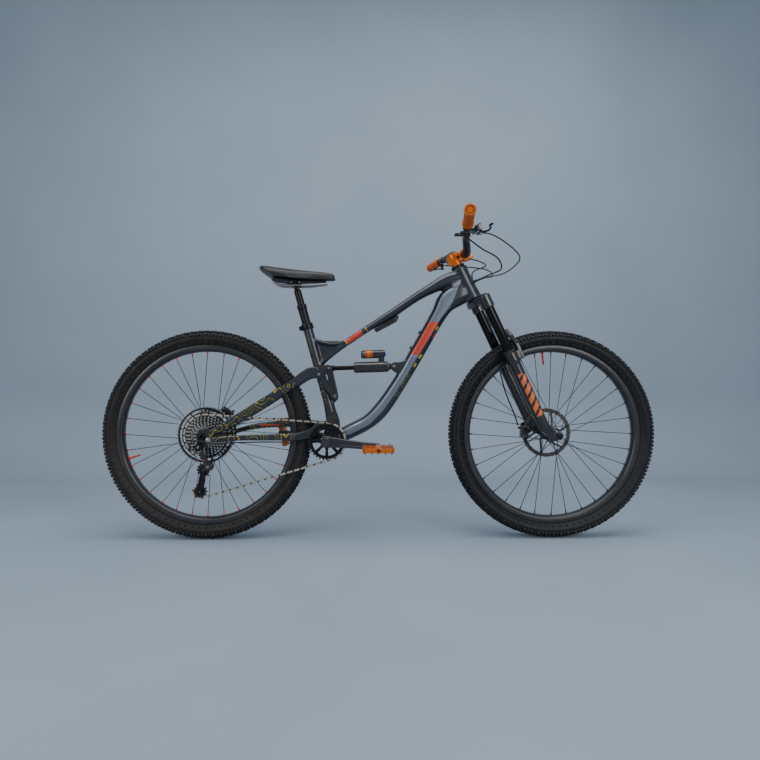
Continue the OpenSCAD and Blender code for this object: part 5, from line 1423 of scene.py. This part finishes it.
place("front_brake_hose", hose(front_route, 2.5, (0.1, 1, 0.2)).mesh("front_brake_hose"), hose_black,
      "steering",
      "front_hose")
cockpit = joined("cockpit_hoses", [with_finish(hose(*route).mesh("cockpit_hose"), hose_black)
                                   for route in cockpit_routes])
place("cockpit_hoses_swept", cockpit, None, "steering", "cockpit_hoses")
rear = joined("rear_hoses", [with_finish(hose(*route).mesh("rear_hose"),
                                         hose_black) for route in rear_routes])
place("rear_hoses_swept", rear, None, "seatstays", "rear_hoses")
print("hoses made")

# %% [markdown]
# ## The drivetrain
# Sprockets are stamped and milled plates, so each is a thin turned ring with one tooth repeated
# round it. The chain is two sorts of link laid alternately along the path that the wheels set, a
# fixed pitch apart, which is how a real chain finds its place too.

# %% Cassette and chainring
def pitch_radius(teeth):
    return 12.7 / 2 / math.sin(math.pi / teeth)


def sprocket(name, teeth, centre, y, thick, inner, finish, tooth_finish=None):
    root, tip = pitch_radius(teeth) - 4.0, pitch_radius(teeth) + 2.4
    t = thick / 2
    plate = Blank().turn([(-t, inner), (-t, root - 0.3), (-t * 0.8, root), (t * 0.8, root), (t, root - 0.3),
                          (t, inner)], (centre[0], y, centre[2]), sides=max(48, teeth * 2), loop=True)
    tooth = Blank()
    half = math.pi * root / teeth * 0.74
    rings = []
    for r, w, h in ((root - 1.2, half * 1.05, t), (root + 1.6, half * 0.82, t),
                    (root + 4.2, half * 0.46, t * 0.7),
                    (tip, half * 0.22, t * 0.4)):
        rings.append([Vector((r, s * h, f * w)) for s, f in ((-1, -1), (1, -1), (1, 1), (-1, 1))])
    tooth.skin(rings)
    teeth_mesh = round_axle(name + "_teeth", tooth.mesh("tooth", sharp=30), teeth, (centre[0], y, centre[2]),
                            tooth_finish or finish)
    return [with_finish(plate.mesh(name), finish), teeth_mesh]


cog_pitch, cog_start = 3.62, -69
cog_teeth = [10, 12, 14, 16, 18, 21, 24, 28, 32, 36, 42, 50]
worn_steel = make_finish("worn_steel", (0.4, 0.39, 0.37), 0.28, metal=1.0, grain=800, vary=0.3)
parts = []
for i, teeth in enumerate(cog_teeth):
    y = cog_pitch * i + cog_start
    inner = 15.3 if i < 4 else pitch_radius(teeth) - (12 if i < 11 else 11)
    parts += sprocket(f"cog_{teeth}", teeth, rear_axle, y, 1.6, inner,
                      black_anodised, worn_steel)
arms = Blank()
for i in range(4, 12):
    teeth = cog_teeth[i]
    r = pitch_radius(teeth) - 11
    y = cog_pitch * i + cog_start
    arms.plate([(12, -7), (r * 0.5, -1), (r + 1, 6), (r + 1, 12), (r * 0.55, 7), (12, 7)], y - 0.7, y + 0.7)
spider = round_axle("spider", arms.mesh("arm"), 9, rear_axle, dark_steel)
carrier = Blank().turn([(-70.5, 10.1), (-70.5, 15.2), (-28.5, 15.2), (-28.5, 10.1)], rear_axle,
                       sides=48, loop=True)
for i in range(5, 11):
    y, r = cog_pitch * i + cog_start, pitch_radius(cog_teeth[i]) - 13
    carrier.turn([(y + 0.8, r - 3), (y + 0.8, r), (y + 2.8, r), (y + 2.8, r - 3)], rear_axle, sides=48,
                 loop=True)
lock = Blank().turn([(-70.6, 10.1), (-70.6, 13.8), (-70.0, 15), (-69.8, 15), (-69.8, 10.1)], rear_axle,
                    sides=40, loop=True)
place("cassette_cut", joined("cassette", parts + [spider, with_finish(carrier.mesh("carrier"), dark_steel),
                                                  with_finish(lock.mesh("lock"), cast_grey)]),
      None, "cassette_body", "cassette")

ring_r = pitch_radius(32)
ring_parts = sprocket("chainring", 32, bb, -52, 2.2, 50, black_anodised, dark_steel)
web = Blank()
web.plate([(18, -7), (30, -4.5), (51, -6), (51, 6), (30, 4.5), (18, 7)], -53.1, -50.9)
webs = round_axle("ring_arms", web.mesh("arm", bevel=0.3), 8, (bb[0], 0, bb[2]), black_anodised)
centre_ring = Blank().turn([(-54.2, 14.6), (-54.2, 21.4), (-53.6, 22), (-45.6, 22), (-45, 21.4),
                            (-45, 14.6)], bb,
                           sides=48, loop=True)
place("chainring_cut", joined("chainring", ring_parts + [webs,
                                                         with_finish(centre_ring.mesh("ring_boss"),
                                                                     black_anodised)]),
      None, "crank", "chainring")


# %% [markdown]
# ### The chain
# The chain's course is worked out from the four circles that it wraps: tangents where it runs free and
# arcs where it lies on teeth. Geometry Nodes then lay inner and outer links in turn along that course.

# %% The chain
def tangent(a, ra, b, rb):
    d = Vector((b[0] - a[0], b[1] - a[1]))
    return math.atan2(d.y, d.x) + math.acos((ra - rb) / d.length)


def crossing(a, ra, b, rb, way):
    d = Vector((b[0] - a[0], b[1] - a[1]))
    return math.atan2(d.y, d.x) + way * math.acos((ra + rb) / d.length)


def wrap(c, r, a0, a1, y, n):
    return [(c[0] + r * math.cos(a0 + (a1 - a0) * i / n), y, c[1] + r * math.sin(a0 + (a1 - a0) * i / n))
            for i in range(n + 1)]


axle_xz, bb_xz = (-front_x, axle_high), (-189, 349)
guide_at, tension_at, cage_pivot = (-620, 249), (-633, 173), (-597, 264)
knuckle_at = (-622, 335)
cog_y, pulley_r, cog_r = cog_pitch * 9 + cog_start, pitch_radius(12), pitch_radius(36)
top = tangent(axle_xz, cog_r, bb_xz, ring_r)
low = tangent(bb_xz, ring_r, tension_at, pulley_r)
up_cage = crossing(tension_at, pulley_r, guide_at, pulley_r, 1)
on_cog = crossing(guide_at, pulley_r, axle_xz, cog_r, -1)
chain_path = (wrap(axle_xz, cog_r, on_cog + math.pi, top, cog_y, 40) + wrap(bb_xz, ring_r, top, low, -52, 40)
              + wrap(tension_at, pulley_r, low, up_cage - math.tau, cog_y, 24)
              + wrap(guide_at, pulley_r, up_cage - math.pi, on_cog, cog_y, 24))
length = sum((Vector(a) - Vector(b)).length for a, b in zip(chain_path, chain_path[1:] + chain_path[:1]))
links = 2 * round(length / 12.7 / 2)
print("chain", round(length), "mm,", links, "links")


def link_plate(b, y0, y1):
    """A waisted plate round two pins 12.7 mm apart."""
    outline = []
    for x, start in ((6.35, -70), (-6.35, 110)):
        outline += [(x + 3.55 * math.cos(math.radians(start + k * 35)),
                     3.55 * math.sin(math.radians(start + k * 35)))
                    for k in range(5)]
        outline.append((0, 2.7 if start < 0 else -2.7))
    b.plate(outline, y0, y1)


inner, outer = Blank(), Blank()
for s in (-1, 1):
    link_plate(inner, *sorted((s * 0.95, s * 1.6)))
    link_plate(outer, *sorted((s * 1.7, s * 2.35)))
for x in (-6.35, 6.35):
    inner.turn([(-0.9, 3.6), (0.9, 3.6)], (x, 0, 0), sides=8)
    outer.turn([(-2.6, 1.3), (-2.45, 1.75), (2.45, 1.75), (2.6, 1.3)], (x, 0, 0), sides=8)

chain_tree, given, out = new_tree("chain_links", [("Links", "Int"), ("Inner", "Object"), ("Outer", "Object"),
                                                  ("Plates", "Material"), ("Rollers", "Material")])
link = chain_tree.links.new
line = node(chain_tree, "GeometryNodeMeshToCurve")
link(given.outputs["Geometry"], line.inputs["Mesh"])
even = node(chain_tree, "GeometryNodeResampleCurve")
link(line.outputs[0], even.inputs["Curve"])
link(given.outputs["Links"], even.inputs["Count"])
ahead = node(chain_tree, "GeometryNodeInputTangent")
face_on = node(chain_tree, "FunctionNodeAlignRotationToVector", axis="X", pivot_axis="Y")
link(ahead.outputs[0], face_on.inputs["Vector"])
index = node(chain_tree, "GeometryNodeInputIndex")
odd = node(chain_tree, "ShaderNodeMath", operation="MODULO")
odd.inputs[1].default_value = 2
link(index.outputs[0], odd.inputs[0])
even_ones = node(chain_tree, "ShaderNodeMath", operation="SUBTRACT")
even_ones.inputs[0].default_value = 1
link(odd.outputs[0], even_ones.inputs[1])
together = node(chain_tree, "GeometryNodeJoinGeometry")
for label, chosen, coat in (("Inner", odd, "Rollers"), ("Outer", even_ones, "Plates")):
    info = node(chain_tree, "GeometryNodeObjectInfo")
    link(given.outputs[label], info.inputs["Object"])
    laid = node(chain_tree, "GeometryNodeInstanceOnPoints")
    link(even.outputs[0], laid.inputs["Points"])
    link(chosen.outputs[0], laid.inputs["Selection"])
    link(info.outputs["Geometry"], laid.inputs["Instance"])
    link(face_on.outputs[0], laid.inputs["Rotation"])
    real = node(chain_tree, "GeometryNodeRealizeInstances")
    link(laid.outputs[0], real.inputs[0])
    coated = node(chain_tree, "GeometryNodeSetMaterial")
    link(real.outputs[0], coated.inputs["Geometry"])
    link(given.outputs[coat], coated.inputs["Material"])
    link(coated.outputs[0], together.inputs[0])
link(together.outputs[0], out.inputs[0])

path_mesh = bpy.data.meshes.new("chain_path")
count = len(chain_path)
path_mesh.from_pydata([tuple(Vector(p) * MM) for p in chain_path],
                      [(i, (i + 1) % count) for i in range(count)], [])
inner_link, outer_link = hidden("inner_link", inner.mesh("inner")), hidden("outer_link", outer.mesh("outer"))
chain = run_tree(chain_tree, path_mesh, Links=links, Inner=inner_link, Outer=outer_link,
                 Plates=chain_steel, Rollers=dark_steel)
for ob in (inner_link, outer_link):
    bpy.data.objects.remove(ob)
place("chain_laid", chain, None, frame["nodes"]["chain"]["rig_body"], "chain")

# %% [markdown]
# ## Cranks and pedals
# A crank arm is forged: wide and deep at the axle, thin at the pedal, with every edge rounded. A
# flat pedal is a machined frame with grub screws for grip, so its frame is moulded once and its
# screws are put at marks.

# %% Cranks and pedals
crank_dir = Vector((math.cos(math.radians(5.5)), 0, -math.sin(math.radians(5.5))))
crank_side = Vector((crank_dir.z, 0, -crank_dir.x))
cranks = Blank()


def rounded(wide, thick, n=16):
    """A rounded rectangle as [across, out] pairs."""
    points = []
    for i in range(n):
        a = math.tau * (i + 0.5) / n
        points.append((wide * math.copysign(abs(math.cos(a)) ** 0.55, math.cos(a)),
                       thick * math.copysign(abs(math.sin(a)) ** 0.55, math.sin(a))))
    return points


for s in (1, -1):
    direction = -crank_dir if s > 0 else crank_dir
    rings = []
    for along, y0, y1, half in curve_through([(-20, 60, 75, 13), (-14, 60, 76, 18.5), (0, 60, 76, 20.8),
                                              (22, 60, 76, 18.5), (60, 61, 76, 15.6), (96, 64.5, 79, 14),
                                              (140, 66, 81.5, 13), (160, 66, 82, 13.4), (177, 66, 82, 13.4),
                                              (186, 66.5, 81.5, 9.5)], 4):
        centre = Vector(bb) + direction * along + Vector((0, s * (y0 + y1) / 2, 0))
        rings.append([centre + crank_side * a + Vector((0, o, 0)) for a, o in rounded(half, (y1 - y0) / 2)])
    cranks.skin(rings)
cranks.turn([(-62, 14.4), (62, 14.4)], bb, sides=40)
crank_bores = Blank().turn([(-100, 8), (100, 8)], bb, sides=32)
crank_length = 175
pedal_at = {-1: Vector(bb) + crank_dir * crank_length, 1: Vector(bb) - crank_dir * crank_length}
for s in (-1, 1):
    low_y, high_y = sorted((s * 55, s * 100))
    crank_bores.turn([(low_y, 6.02), (high_y, 6.02)], pedal_at[s], sides=24)
    direction = -crank_dir if s > 0 else crank_dir
    rings = []
    for along, half in ((44, 3), (50, 6.2), (140, 4.6), (146, 2.2)):
        centre = Vector(bb) + direction * along + Vector((0,
                                                          s * (76 + (along > 90) * 3.4 + (along > 120) * 2.0), 0))
        rings.append([centre + crank_side * a + Vector((0, o, 0)) for a, o in rounded(half, 2.2, 10)])
    crank_bores.skin(rings)
crank_mesh = moulded(cranks.mesh("crank_shells"), 1.6, 3, crank_bores)
fittings = Blank()
for s in (-1, 1):
    fittings.turn([(s * t, r) for t, r in [(75.9, 14.2), (79, 14.2), (80, 13.2), (80, 9), (78, 8.4),
                                           (78, 0)]], bb,
                  sides=40)
    fittings.turn([(s * t, r) for t, r in [(62, 0), (62, 5.95), (88.6, 5.95), (88.6, 5.95), (181, 5.95),
                                           (181, 0)]],
                  pedal_at[s], sides=24)
    fittings.turn([(s * t, r) for t, r in [(82.2, 6), (82.2, 8.6), (84.6, 8.6), (85, 7.6), (88.4, 7.2),
                                           (88.5, 6)]],
                  pedal_at[s], sides=24, loop=True)
place("crankset_forged", joined("crankset", [with_finish(crank_mesh, gloss_black),
                                             with_finish(fittings.mesh("crank_fittings"), dark_steel)]),
      None, "crank", "crankset")

for s, name, body, tilt in ((-1, "pedal_right", "pedal_r", 0), (1, "pedal_left", "pedal_l", 77)):
    b = Blank()
    frame_outline = [(-44, 0), (44, 0), (52, 10), (52, 86), (44, 98), (-44, 98), (-52, 86), (-52, 10)]
    window = [[(-42, 9), (-9, 9), (-9, 44), (-43, 44)], [(42, 9), (43, 44), (9, 44), (9, 9)],
              [(-43, 53), (-9, 53), (-9, 89), (-42, 89)], [(43, 53), (42, 89), (9, 89), (9, 53)]]
    b.skin([[(x, y, z * 7.6) for x, y in frame_outline] for z in (-1, 1)])
    cut = Blank()
    for pane in window:
        cut.skin([[(x, y, z * 12) for x, y in pane] for z in (-1, 1)])
    b.turn([(-0.3, 10.8), (98.2, 10.8)], (0, 0, 0), (0, 1, 0), 32)
    cut.turn([(-2, 6.03), (100, 6.03)], (0, 0, 0), (0, 1, 0), 24)
    place_it = Matrix.Translation(pedal_at[s] + Vector((0, s * 89,
                                                        0))) @ Matrix.Rotation(math.radians(tilt), 4, "Y") \
        @ Matrix.Diagonal((1, s, 1, 1))
    platform = moulded(b.moved(place_it).mesh("platform"), 1.5, 2, cut.moved(place_it))
    spin = place_it.to_3x3()
    marks = []
    for x in (-47.5, 47.5):
        for y in (4.5, 27, 49, 71, 93.5):
            for z in (-1, 1):
                marks.append((place_it @ Vector((x * (1 if 8 < y < 90 else 0.9), y, z * 7.2)),
                              spin @ Vector((0, 0, z))))
    for y in (4.5, 93.5):
        for x in (-22, 22):
            for z in (-1, 1):
                marks.append((place_it @ Vector((x, y, z * 7.2)), spin @ Vector((0, 0, z))))
    grub = Blank().turn([(0, 2.0), (4.3, 2.0), (4.9, 1.6), (4.9, 0.9), (3.6, 0.8), (3.6, 0)], (0, 0, 0),
                        (0, 0, 1), 10)
    place(name + "_platform", joined(name, [with_finish(platform, orange_anodised),
                                            at_marks("grub", grub.mesh("grub"), marks, dark_steel)]),
          None, body, name)

# %% [markdown]
# ## The rear derailleur
# Two knuckles joined by a parallelogram, and a cage that pulls the chain tight. Each is its own
# casting, turned or moulded to the pivots that the frame model fixes.

# %% Derailleur
eased("derailleur_hanger", black_anodised, 1.2)
link_top, link_low = Vector((-622, -96, 335)), Vector((-597, cog_y - 25, 264))
along = (link_low - link_top).normalized()
wide = along.cross(Vector((0, 1, 0))).normalized()
deep = along.cross(wide)
arm = Blank()
rings = []
span = (link_low - link_top).length
for t, w, d in ((17.5, 7, 6), (20, 8.2, 7.4), (30, 8.4, 7.6), (span - 30, 9.2, 7.8),
                (span - 22, 8.6, 7.6), (span - 19.5, 7, 6)):
    rings.append([link_top + along * t + wide * a + deep * o for a, o in rounded(w, d)])
arm.skin(rings)
arm_cut = Blank()
rings = [[link_top + along * t + wide * a + deep * (o - 7.4) for a,
          o in rounded(3.4, 2.4, 8)] for t in (26, span - 28)]
arm_cut.skin(rings)
place("derailleur_arm", moulded(arm.mesh("arm"), 1.0, 2, arm_cut), gloss_black, "mech_link",
      "derailleur_link")
knuckle = Blank()
knuckle.turn([(cog_y - 34, 12.5), (cog_y - 33, 14.6), (cog_y - 28, 15.8), (cog_y - 18, 16),
              (cog_y - 16.5, 15.2),
              (cog_y - 15, 16), (cog_y - 9.2, 16), (cog_y - 8.4, 15)],
              (cage_pivot[0], 0, cage_pivot[1]), sides=48)
knuckle_bore = Blank().turn([(cog_y - 30, 6.06), (cog_y, 6.06)], (cage_pivot[0], 0, cage_pivot[1]), sides=24)
place("derailleur_knuckle", moulded(knuckle.mesh("knuckle"), 0.9, 1, knuckle_bore), satin_black, "mech_body",
      "derailleur_body")
eased("derailleur_cage", black_anodised, 0.35)
cage_marks = [((x, cog_y - 7.7, z), (0, -1, 0)) for x, z in (guide_at, tension_at)]
cage_marks += [((x, cog_y + 7.7, z), (0, 1, 0)) for x, z in (guide_at, tension_at)]
place("cage_screws", at_marks("cage_screw", screw, cage_marks, bare_steel, 0.9), None, "mech_cage")
knuckle_marks = [((cage_pivot[0], cog_y - 34, cage_pivot[1]), (0, -1, 0))]
place("knuckle_screw", at_marks("knuckle_screw", screw, knuckle_marks, bare_steel, 1.8), None, "mech_body")
hanger_marks = [((knuckle_at[0], -102, knuckle_at[1]), (0, -1, 0))]
place("hanger_screw", at_marks("hanger_screw", screw, hanger_marks, bare_steel, 1.9), None, "seatstays")
for name, centre, body in (("guide_pulley", guide_at, "guide_wheel"),
                           ("tension_pulley", tension_at, "tension_wheel")):
    where_to = (centre[0], 0, centre[1])
    wheel_parts = sprocket(name, 12, where_to, cog_y, 2.0, 14, nylon_black)
    core = Blank().turn([(cog_y - 4, 3.05), (cog_y - 4, 6.4), (cog_y - 3.4, 7), (cog_y - 1, 7),
                         (cog_y - 0.7, 14.2),
                         (cog_y + 0.7, 14.2), (cog_y + 1, 7), (cog_y + 3.4, 7), (cog_y + 4, 6.4),
                         (cog_y + 4, 3.05)],
                        where_to, sides=40, loop=True)
    place(name + "_cut", joined(name, wheel_parts + [with_finish(core.mesh("core"), black_anodised)]),
          None, body, name)
cable_end = Blank().tube(curve_through([(-648, -95, 322), (-641, -92, 309), (-628, -90, 300),
                                        (-612, -90, 291)], 6), 0.8, 8)
tip = Blank().turn([(0, 1.0), (0.4, 1.7), (8, 1.7), (8.6, 1.1)], (-612, -90, 291), (0.86, 0.05, -0.5), 10)
place("shift_cable_end", joined("cable_end", [with_finish(cable_end.mesh("inner_wire"), bare_steel),
                                              with_finish(tip.mesh("cable_tip"), red_anodised)]), None,
                                              "seatstays")
eased("chain_guide", nylon_black, 0.7)
eased("rear_axle", black_anodised, 0.7)
print("drivetrain made")

# %% [markdown]
# ## The shock and its linkage
# An air shock is turned from bar, with a knurled sleeve, so lathe profiles make it. The rocker is a
# pair of machined plates with their edges broken and their pivots bolted.

# %% Shock and rocker
shock_dir = (Vector(shock_front) - Vector(shock_rear)).normalized()
shock_frame = Matrix.Translation(Vector(shock_rear)) @ Matrix.Rotation(math.pi / 2 - math.atan2(shock_dir.z, shock_dir.x),
                                                                       4, "Y")
can = Blank().turn([(88, 8.1), (88, 16.2), (88.6, 17), (92, 17), (92, 19), (93, 20), (110, 20), (110.6, 19.2),
                    (112, 19.2), (112.6, 20), (150, 20), (150.5, 19.4), (152, 19.4), (152.5, 20), (196, 20),
                    (197, 18.6), (201, 18.6), (202, 20), (209, 20), (210, 19), (210, 16), (214, 15.4),
                    (214, 0),
                    (195, 0), (195, 14.56), (96, 14.56), (96, 8.1)], (0, 0, 0), (0, 0, 1), 56, loop=True)
can.box((-12, -12, 205), (12, 12, 219))
can.skin([[(x, y, t) for x, y in [(-46, -9), (-12, -9), (-10, -6), (-10, 6), (-12, 9), (-46, 9)]]
          for t in (177, 198.4)])
reservoir = Blank().turn([(115.5, 0), (115.5, 12), (116, 12.6), (117.5, 14.6), (126, 15), (127, 14.4),
                          (128.6, 14.4),
                          (129.6, 15), (183, 15), (184, 14.2), (185.5, 14.2), (186.5, 15), (198, 15),
                          (199.4, 13.6),
                          (199.9, 0)], (-46, 0, 0), (0, 0, 1), 48)
eye = Blank().turn([(-12.6, 4.06), (-12.6, 11.4), (-12, 12), (12, 12), (12.6, 11.4), (12.6, 4.06)],
                   shock_front,
                   sides=40, loop=True)
bridge = Blank().box((-9, -11.8, 210), (9, 11.8, 222))
bands = Blank()
for t0, t1 in ((131, 134), (137, 150), (153, 156)):
    bands.turn([(t0, 14.9), (t0, 15.12), (t1, 15.12), (t1, 14.9)], (-46, 0, 0), (0, 0, 1), 48, loop=True)
can_mesh = can.moved(shock_frame).mesh("can", sharp=28)
place("shock_can_turned", joined("shock_can", [
    with_finish(can_mesh, gloss_black),
    with_finish(reservoir.moved(shock_frame).mesh("reservoir", sharp=28), gloss_black),
    with_finish(bands.moved(shock_frame).mesh("bands"), orange_anodised),
    with_finish(bridge.moved(shock_frame).mesh("bridge", bevel=1.5), gloss_black),
    with_finish(eye.mesh("eye"), black_anodised)]), None, "shock_body", "shock_can")
shaft = Blank().turn([(18, 0), (18, 8), (20, 8.0), (98.6, 8), (99, 12), (99, 14.1), (99.6, 14.5),
                      (112.4, 14.5), (113, 14.1),
                      (113, 0)], (0, 0, 0), (0, 0, 1), 48)
shaft_foot = Blank().turn([(8, 8), (8, 9.6), (8.5, 10), (19.6, 10), (20.4, 9.2), (20.4, 8)], (0, 0, 0),
                          (0, 0, 1), 40,
                          loop=True)
rear_eye = Blank().turn([(-12.4, 7.5), (-12.4, 11), (-11.9, 11.5), (11.9, 11.5), (12.4, 11),
                         (12.4, 7.5)], shock_rear,
                        sides=40, loop=True)
o_ring = Blank().turn([(84, 8.0), (84.3, 8.9), (85.7, 8.9), (86, 8.0)], (0, 0, 0), (0, 0, 1), 32, loop=True)
place("shock_shaft_turned", joined("shock_shaft", [
    with_finish(shaft.moved(shock_frame).mesh("shaft"), stanchion_black),
    with_finish(shaft_foot.moved(shock_frame).mesh("shaft_foot"), black_anodised),
    with_finish(rear_eye.mesh("rear_eye"), black_anodised),
    with_finish(o_ring.moved(shock_frame).mesh("o_ring"), nylon_black)]), None, "shock_rod", "shock_shaft")
eased("shock_lever", blue_anodised, 0.7)
eased("rocker_link", gloss_black, 1.2)
eased("linkage_bolts", dark_steel, 0.6)
marks = [((x, s * y, z), (0, s, 0)) for (x, _, z), y in ((main_pivot, 36.9), (rocker_pivot, 30.9),
                                                         (shock_front, 24.9),
                                                         (shock_rear, 30.9)) for s in (-1, 1)]
place("pivot_screws", at_marks("pivot_screw", screw, marks[:6], bare_steel, 1.6), None, "frame")
place("rocker_screws", at_marks("rocker_screw", screw, marks[6:], bare_steel, 1.6), None, "rocker")
stay_marks = [((stay_pivot[0], s * 37.9, stay_pivot[2]), (0, s, 0)) for s in (-1, 1)]
place("stay_screws", at_marks("stay_screw", screw, stay_marks, bare_steel, 2.0), None, "seatstays")
eased("frame_fittings", nylon_black, 1.0)
print("shock made")

# %% [markdown]
# ## The seatpost and the saddle
# The post is turned. The saddle is foam under a stretched cover. Its crown is drawn, its pad is made a little small
# and then settled with a short cloth simulation, which moves it by less than a millimetre. The
# hard edge that holds the cover and the shallow channel down the middle come afterwards.

# %% Seatpost and rails
seat_frame = Matrix.Translation((seat_foot[0], 0, seat_foot[1])) @ Matrix.Rotation(-seat_lean, 4, "Y")
outer_post = Blank().turn([(180, 13.06), (170, 13.4), (170, 15.8), (483.6, 15.8), (484, 17.0), (484.6, 17.2),
                           (489, 17.2), (489.6, 16.6), (491, 16.6), (491.6, 17.2), (499.5, 17.2), (501, 15.4),
                           (501, 13.06)], (0, 0, 0), (0, 0, 1), 56, loop=True)
place("seatpost_outer_turned", outer_post.moved(seat_frame).mesh("outer_post"), black_anodised, "frame",
      "seatpost_outer")
head_t = 554
saddle_at = on_seat(head_t + 17)
inner_post = Blank().turn([(330, 0), (330, 12.98), (546, 12.98), (547, 13.0), (554, 13.0), (556, 11),
                           (556, 0)],
                          (0, 0, 0), (0, 0, 1), 56)
head_block = Blank().turn([(-27, 7.6), (-26.2, 9), (26.2, 9), (27, 7.6)], (0, 0, head_t + 4), (0, 1, 0), 40)
place("seatpost_inner_turned", joined("seatpost_inner", [
    with_finish(inner_post.moved(seat_frame).mesh("inner_post"), stanchion_black),
    with_finish(head_block.moved(seat_frame).mesh("head_block"), black_anodised)]), None, "saddle",
    "seatpost_inner")
eased("seat_clamp", black_anodised, 0.8)
place("seat_bolt", at_marks("seat_bolt", screw, [(on_seat(420, -25, 7), (0, 1, 0))], bare_steel, 1.5),
      None, "frame")
sx, sz = saddle_at.x, saddle_at.z
rails = Blank()
for s in (-1, 1):
    rails.tube(curve_through([(sx - 84, s * 26, sz + 18.2), (sx - 64, s * 24, sz + 5), (sx - 40, s * 22, sz),
                              (sx + 40, s * 21, sz), (sx + 82, s * 16, sz + 4),
                              (sx + 112, s * 11, sz + 7.4)], 8),
               3.5, 16, level=(0.3, 0.5, 0.81))
yoke = Blank().box((sx - 20, -27, sz + 3.6), (sx + 20, 27, sz + 8.6))
place("saddle_rails_bent", joined("saddle_rails", [
    with_finish(rails.mesh("rails"), bare_steel), with_finish(yoke.mesh("yoke", bevel=1.2), black_anodised)]),
    None, "saddle", "saddle_rails")
place("saddle_yoke_screws", at_marks("yoke_screw", screw, [((sx + dx, s * 24, sz + 8.5), (0, 0, 1))
                                                           for dx in (-14, 14) for s in (-1, 1)],
                                                           bare_steel, 1.1),
      None, "saddle")

# %% [markdown]
# ### The saddle
# The cover is a closed skin, a little small. A short cloth simulation with air inside lets it settle,
# and how far any point may move is capped. The last line printed says how far it did move.

# %% The saddle
saddle_shape = [[0, 30, 68, 58], [0.06, 60, 69, 48], [0.18, 71, 65, 31], [0.35, 66, 60, 24],
                [0.52, 42, 57, 22],
                [0.7, 27, 54, 22], [0.88, 22, 50, 22], [0.97, 17, 46, 22], [1, 9, 38, 24]]


def saddle_ring(s, shrink, drop, sides=40):
    ring = []
    for i in range(sides):
        a = math.tau * (i + 0.5) / sides
        out, up = math.sin(a), math.cos(a)
        middle = sz + s[3] + 2
        rise = s[2] - s[3] - 2
        wide = (s[1] - shrink) * math.copysign(abs(out) ** 0.8, out)
        high = (rise - shrink * 0.6) * abs(up) ** 0.8 if up > 0 else drop * up
        dip = 1.3 * math.exp(-(wide / 7.0) ** 2) * min(1, s[0] * 4) * (1 if up > 0 else 0)
        ring.append((sx - 128 + s[0] * 268 + (shrink if s[0] < 0.02 else -shrink if s[0] > 0.98 else 0),
                     -wide, middle + high - dip))
    return ring


pad = Blank().skin([saddle_ring(s, 1.6, 5.5) for s in curve_through(saddle_shape, 6)]).mesh("pad", sharp=80)
pad_ob = hidden("pad", pad)
melt = pad_ob.modifiers.new("melt", "REMESH")
melt.mode, melt.voxel_size, melt.use_smooth_shade = "VOXEL", 0.004, True
pad_mesh = plain_mesh(pad_ob)
rest_points = [v.co.copy() for v in pad_mesh.vertices]
pad_ob = hidden("pad", pad_mesh)
group = pad_ob.vertex_groups.new(name="held")
for v in pad_mesh.vertices:
    normal_down = max(0.0, -v.normal.z)
    group.add([v.index], min(1.0, 0.15 + normal_down), "REPLACE")
cloth = pad_ob.modifiers.new("cloth", "CLOTH")
cloth.settings.quality = 5
cloth.settings.mass = 0.3
cloth.settings.tension_stiffness = 25
cloth.settings.compression_stiffness = 25
cloth.settings.bending_stiffness = 2
cloth.settings.use_pressure = True
cloth.settings.uniform_pressure_force = 4
cloth.settings.vertex_group_mass = "held"
cloth.settings.effector_weights.gravity = 0
for f in range(1, 21):
    bpy.context.scene.frame_set(f)
swollen = plain_mesh(pad_ob)
bpy.context.scene.frame_set(1)
moved, most_move = [], 0.0028
for v, start in zip(swollen.vertices, rest_points):
    shift_by = v.co - start
    if shift_by.length > most_move:
        v.co = start + shift_by.normalized() * most_move
    moved.append(min(shift_by.length, most_move))
print("saddle cover moved up to", round(max(moved) * 1000, 1), "mm")
pad_ob = hidden("pad", swollen)
round_it = pad_ob.modifiers.new("round", "SUBSURF")
round_it.levels = round_it.render_levels = 1
pad_mesh = plain_mesh(pad_ob)
pad_mesh.polygons.foreach_set("use_smooth", [True] * len(pad_mesh.polygons))

edge = Blank()
outline = [s for s in curve_through(saddle_shape, 6)]
left = [Vector((sx - 128 + s[0] * 268, -s[1] * 0.992, sz + s[3] + 0.4)) for s in outline]
right = [Vector((p.x, -p.y, p.z)) for p in reversed(left)]
edge.tube(left + right, 1.5, 10, level=(0, 0, 1), loop=True)
saddle_piece = place("saddle_pad_covered", joined("saddle", [with_finish(pad_mesh, saddle_skin),
                                                             with_finish(edge.mesh("edge", sharp=80), gloss_black)]),
                     None, "saddle", "saddle_pad")
shell = Blank()
shell.loft([[sx - 128 + s[0] * 268, 0, sz + s[3] - 8.2, 3,
             s[1] * 0.6] for s in saddle_shape if 0.1 < s[0] < 0.95],
           stay_section)
place("saddle_shell_moulded", moulded(shell.mesh("shell"), 1.6, 2), nylon_black, "saddle", "saddle_shell")
print("saddle made")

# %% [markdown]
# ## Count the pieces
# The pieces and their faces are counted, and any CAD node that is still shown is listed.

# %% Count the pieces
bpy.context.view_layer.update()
print("pieces", len(pieces_made), "faces", sum(pieces_made.values()))
left_over = [n for n, ob in frame["nodes"].items() if not ob.hide_render]
print("CAD nodes still shown:", left_over)
